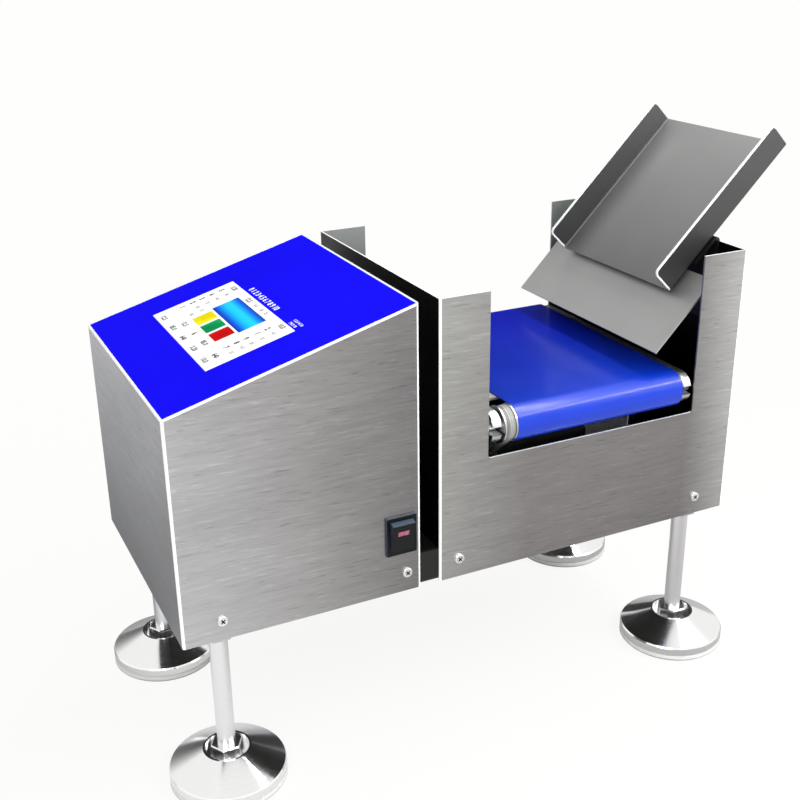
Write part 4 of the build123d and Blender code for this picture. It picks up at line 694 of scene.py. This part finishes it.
# Turned aluminium rollers and pulleys, and ground steel axles and bearings: bright, with fine rings
# round the axis, which is X.
roller_finish, tree = new_finish("turned_aluminium", Metallic=1.0)
rings = grain(tree, (0.0008, 0.05, 0.05), 2.0)
surface(tree, shade(tree, srgb("dddedf"), rings, 0.12), rings, (0.22, 0.36), 0.000008)
dress(roller_finish, "front_roller", "rear_roller", "roller_pulley", "motor_pulley")

ground_finish, tree = new_finish("ground_bearing_steel", Metallic=1.0)
rings = grain(tree, (0.0006, 0.03, 0.03), 2.0)
surface(tree, shade(tree, srgb("cfd0d2"), rings, 0.14), rings, (0.16, 0.28))
dress(ground_finish, "front_axle", "rear_axle", "front_bearings", "rear_bearings", "motor_shaft")

# Blue food-grade polyurethane belt, calendered: satin with a thin glossy skin, and a faint wave.
belt_finish, tree = new_finish("polyurethane_belt", IOR=1.3, Coat_Weight=0.5, Coat_Roughness=0.16, Coat_IOR=1.45)
place = add_node(tree, "ShaderNodeSeparateXYZ", {"Vector": add_node(tree, "ShaderNodeTexCoord").outputs["Object"]})
# Painted light along Y: the blue is lighter towards the front turn and deepest at the back
along = add_node(tree, "ShaderNodeMapRange", {"Value": place.outputs["Y"], "From Min": -0.11, "From Max": 0.11})
belt_tone = add_node(tree, "ShaderNodeValToRGB", {"Fac": along.outputs["Result"]}, [
    (0.0, "0a38c4"), (0.12, "0830b4"), (0.4, "0528ae"), (1.0, "0110b4"),
])
cloud = grain(tree, (0.03, 0.05, 0.03), 2.0)
surface(tree, shade(tree, belt_tone.outputs["Color"], cloud, 0.08), cloud, (0.3, 0.36))
dress(belt_finish, "conveyor_belt")

# Cast polyurethane timing belt: grey, with its steel cords showing as fine lines round it.
timing_finish, tree = new_finish("cast_urethane_timing_belt")
cords = grain(tree, (0.0009, 0.08, 0.08), 1.0)
cord_tone = add_node(tree, "ShaderNodeValToRGB", {"Fac": cords}, [(0.3, "4c4c4a"), (0.5, "8d8d89"), (0.7, "b4b4b0")])
surface(tree, cord_tone.outputs["Color"], cords, (0.3, 0.4), 0.00005)
dress(timing_finish, "timing_belt")

# Powder-coated gear motor: dark grey with a fine orange-peel skin.
motor_finish, tree = new_finish("powder_coated_motor", Specular_IOR_Level=0.3)
peel = grain(tree, (0.0012, 0.0012, 0.0012))
surface(tree, shade(tree, srgb("151617"), peel, 0.2), peel, (0.45, 0.55), 0.00004)
dress(motor_finish, "gear_motor")


# STUDIO
# A pale sweep under the object, which keeps its shadow, and an even white room with one large
# soft lamp on each side.
deselect_all()
bpy.ops.mesh.primitive_plane_add(size=12)
floor = bpy.context.object
floor.name = "studio_floor"
floor_finish, tree = new_finish("studio_floor_paper", Roughness=0.9, Specular_IOR_Level=0.0, Base_Color=srgb("f2f2f0"))
light_path = add_node(tree, "ShaderNodeLightPath")
glow = add_node(tree, "ShaderNodeEmission", {"Color": srgb("fefefd"), "Strength": 1.0})
paper = tree.nodes["Principled BSDF"]
coords = add_node(tree, "ShaderNodeTexCoord").outputs["Object"]
place = add_node(tree, "ShaderNodeSeparateXYZ", {"Vector": coords})
away = add_node(tree, "ShaderNodeVectorMath", {0: coords}, operation="LENGTH").outputs["Value"]
# Far from the object the paper glows as the room does, so that no horizon shows
share = add_node(tree, "ShaderNodeMapRange", {
    "Value": away, "From Min": 0.35, "From Max": 0.9, "To Min": 0.9, "To Max": 1.0,
}).outputs["Result"]
share = add_node(tree, "ShaderNodeMath", {0: light_path.outputs["Is Camera Ray"], 1: share}, operation="MULTIPLY")
mixed = add_node(tree, "ShaderNodeMixShader", {0: share.outputs["Value"], 1: paper.outputs["BSDF"], 2: glow.outputs["Emission"]})
# What the metal mirrors: painted shade on the paper, which falls off in soft tones round the object and is seen only by
# glossy rays
sideways = add_node(tree, "ShaderNodeMapRange", {"Value": place.outputs["X"], "From Min": -0.5, "From Max": 1.1})
before = add_node(tree, "ShaderNodeValToRGB", {"Fac": sideways.outputs["Result"]}, [
    (0.0, "f4f4f5"), (0.2, "f0f0f0"), (0.33, "b9b6b6"), (0.42, "a8a4a5"), (0.52, "b4b1b1"), (0.62, "d0cecd"), (0.8, "fafafa"),
])
backwards = add_node(tree, "ShaderNodeMapRange", {"Value": place.outputs["Y"], "From Min": 0.15, "From Max": 1.3})
behind = add_node(tree, "ShaderNodeValToRGB", {"Fac": backwards.outputs["Result"]}, [
    (0.0, "8b8c8e"), (0.35, "a4a5a7"), (0.7, "c4c5c8"), (1.0, "e6e6e8"),
])
side = add_node(tree, "ShaderNodeMapRange", {"Value": place.outputs["Y"], "From Min": 0.0, "From Max": 0.15})
mirrored = add_node(tree, "ShaderNodeMix", {
    0: side.outputs["Result"], 6: before.outputs["Color"], 7: behind.outputs["Color"],
}, data_type="RGBA").outputs[2]
mirror_glow = add_node(tree, "ShaderNodeEmission", {"Color": mirrored, "Strength": 1.0})
mirror_share = add_node(tree, "ShaderNodeMath", {0: light_path.outputs["Is Glossy Ray"], 1: 0.8}, operation="MULTIPLY")
mixed = add_node(tree, "ShaderNodeMixShader", {
    0: mirror_share.outputs["Value"], 1: mixed.outputs["Shader"], 2: mirror_glow.outputs["Emission"],
})
tree.links.new(mixed.outputs["Shader"], tree.nodes["Material Output"].inputs["Surface"])
floor.data.materials.append(floor_finish)

world = bpy.data.worlds.new("studio_room")
bpy.context.scene.world = world
world.use_nodes = True
tree = world.node_tree
room = tree.nodes["Background"]
light_path = add_node(tree, "ShaderNodeLightPath")
room.inputs["Color"].default_value = srgb("fefefd")
# A large dark card stands behind the object, and is seen only where something mirrors it
direction = add_node(tree, "ShaderNodeTexCoord").outputs["Generated"]
card_azimuth, card_height = radians(72), radians(21)
card_aim = (cos(card_azimuth) * cos(card_height), sin(card_azimuth) * cos(card_height), sin(card_height))
nearness = add_node(tree, "ShaderNodeVectorMath", {0: direction, 1: card_aim}, operation="DOT_PRODUCT").outputs["Value"]
card = add_node(tree, "ShaderNodeMapRange", {
    "Value": nearness, "From Min": cos(radians(41)), "From Max": cos(radians(27)), "To Min": 1.0, "To Max": 0.04,
}).outputs["Result"]
mirrored = add_node(tree, "ShaderNodeMix", {0: light_path.outputs["Is Glossy Ray"], 2: 0.6, 3: card}).outputs[0]
strength = add_node(tree, "ShaderNodeMath", {0: light_path.outputs["Is Camera Ray"], 1: mirrored}, operation="MAXIMUM")
tree.links.new(strength.outputs["Value"], room.inputs["Strength"])


def soft_lamp(name, place, aim, size, power):
    """A lamp of the given width and height at the place, turned to the aim."""
    lamp = bpy.data.lights.new(name, "AREA")
    lamp.shape = "RECTANGLE"
    lamp.size, lamp.size_y = size
    lamp.energy = power
    holder = bpy.data.objects.new(name, lamp)
    holder.location = place
    holder.rotation_euler = (Vector(aim) - Vector(place)).to_track_quat("-Z", "Y").to_euler()
    bpy.context.scene.collection.objects.link(holder)


soft_lamp("key_lamp", (-1.1, -1.2, 1.6), (0, 0, 0.2), (1.2, 1.2), 16)
soft_lamp("fill_lamp", (1.3, -0.9, 1.2), (0, 0, 0.2), (1.2, 1.2), 6)
# Two long strip lamps draw the two bright lines along the belt's front turn
soft_lamp("high_strip", (0.63, 0.02, 1.42), (0.08, -0.098, 0.251), (1.6, 0.05), 9)
soft_lamp("low_strip", (0.63, -0.92, 1.09), (0.08, -0.098, 0.251), (1.6, 0.05), 9)

# CAMERA
# It stands where the photographer stood: a 52 mm lens, a little above the front left corner.
camera = bpy.data.cameras.new("camera")
camera.lens = 52.31
camera.sensor_width = 36
viewer = bpy.data.objects.new("camera", camera)
bpy.context.scene.collection.objects.link(viewer)
yaw, pitch, roll = radians(25.632), radians(22.415), radians(-0.799)
sideways = Vector((cos(yaw), -sin(yaw), 0))
forward = Vector((sin(yaw) * cos(pitch), cos(yaw) * cos(pitch), -sin(pitch)))
upward = sideways.cross(forward)
camera_x = cos(roll) * sideways + sin(roll) * upward
camera_y = -sin(roll) * sideways + cos(roll) * upward
turned = Matrix((camera_x, camera_y, -forward)).transposed().to_4x4()
viewer.matrix_world = Matrix.Translation((-0.42236, -0.79952, 0.60741)) @ turned
bpy.context.scene.camera = viewer
bpy.context.scene.view_settings.view_transform = "Standard"
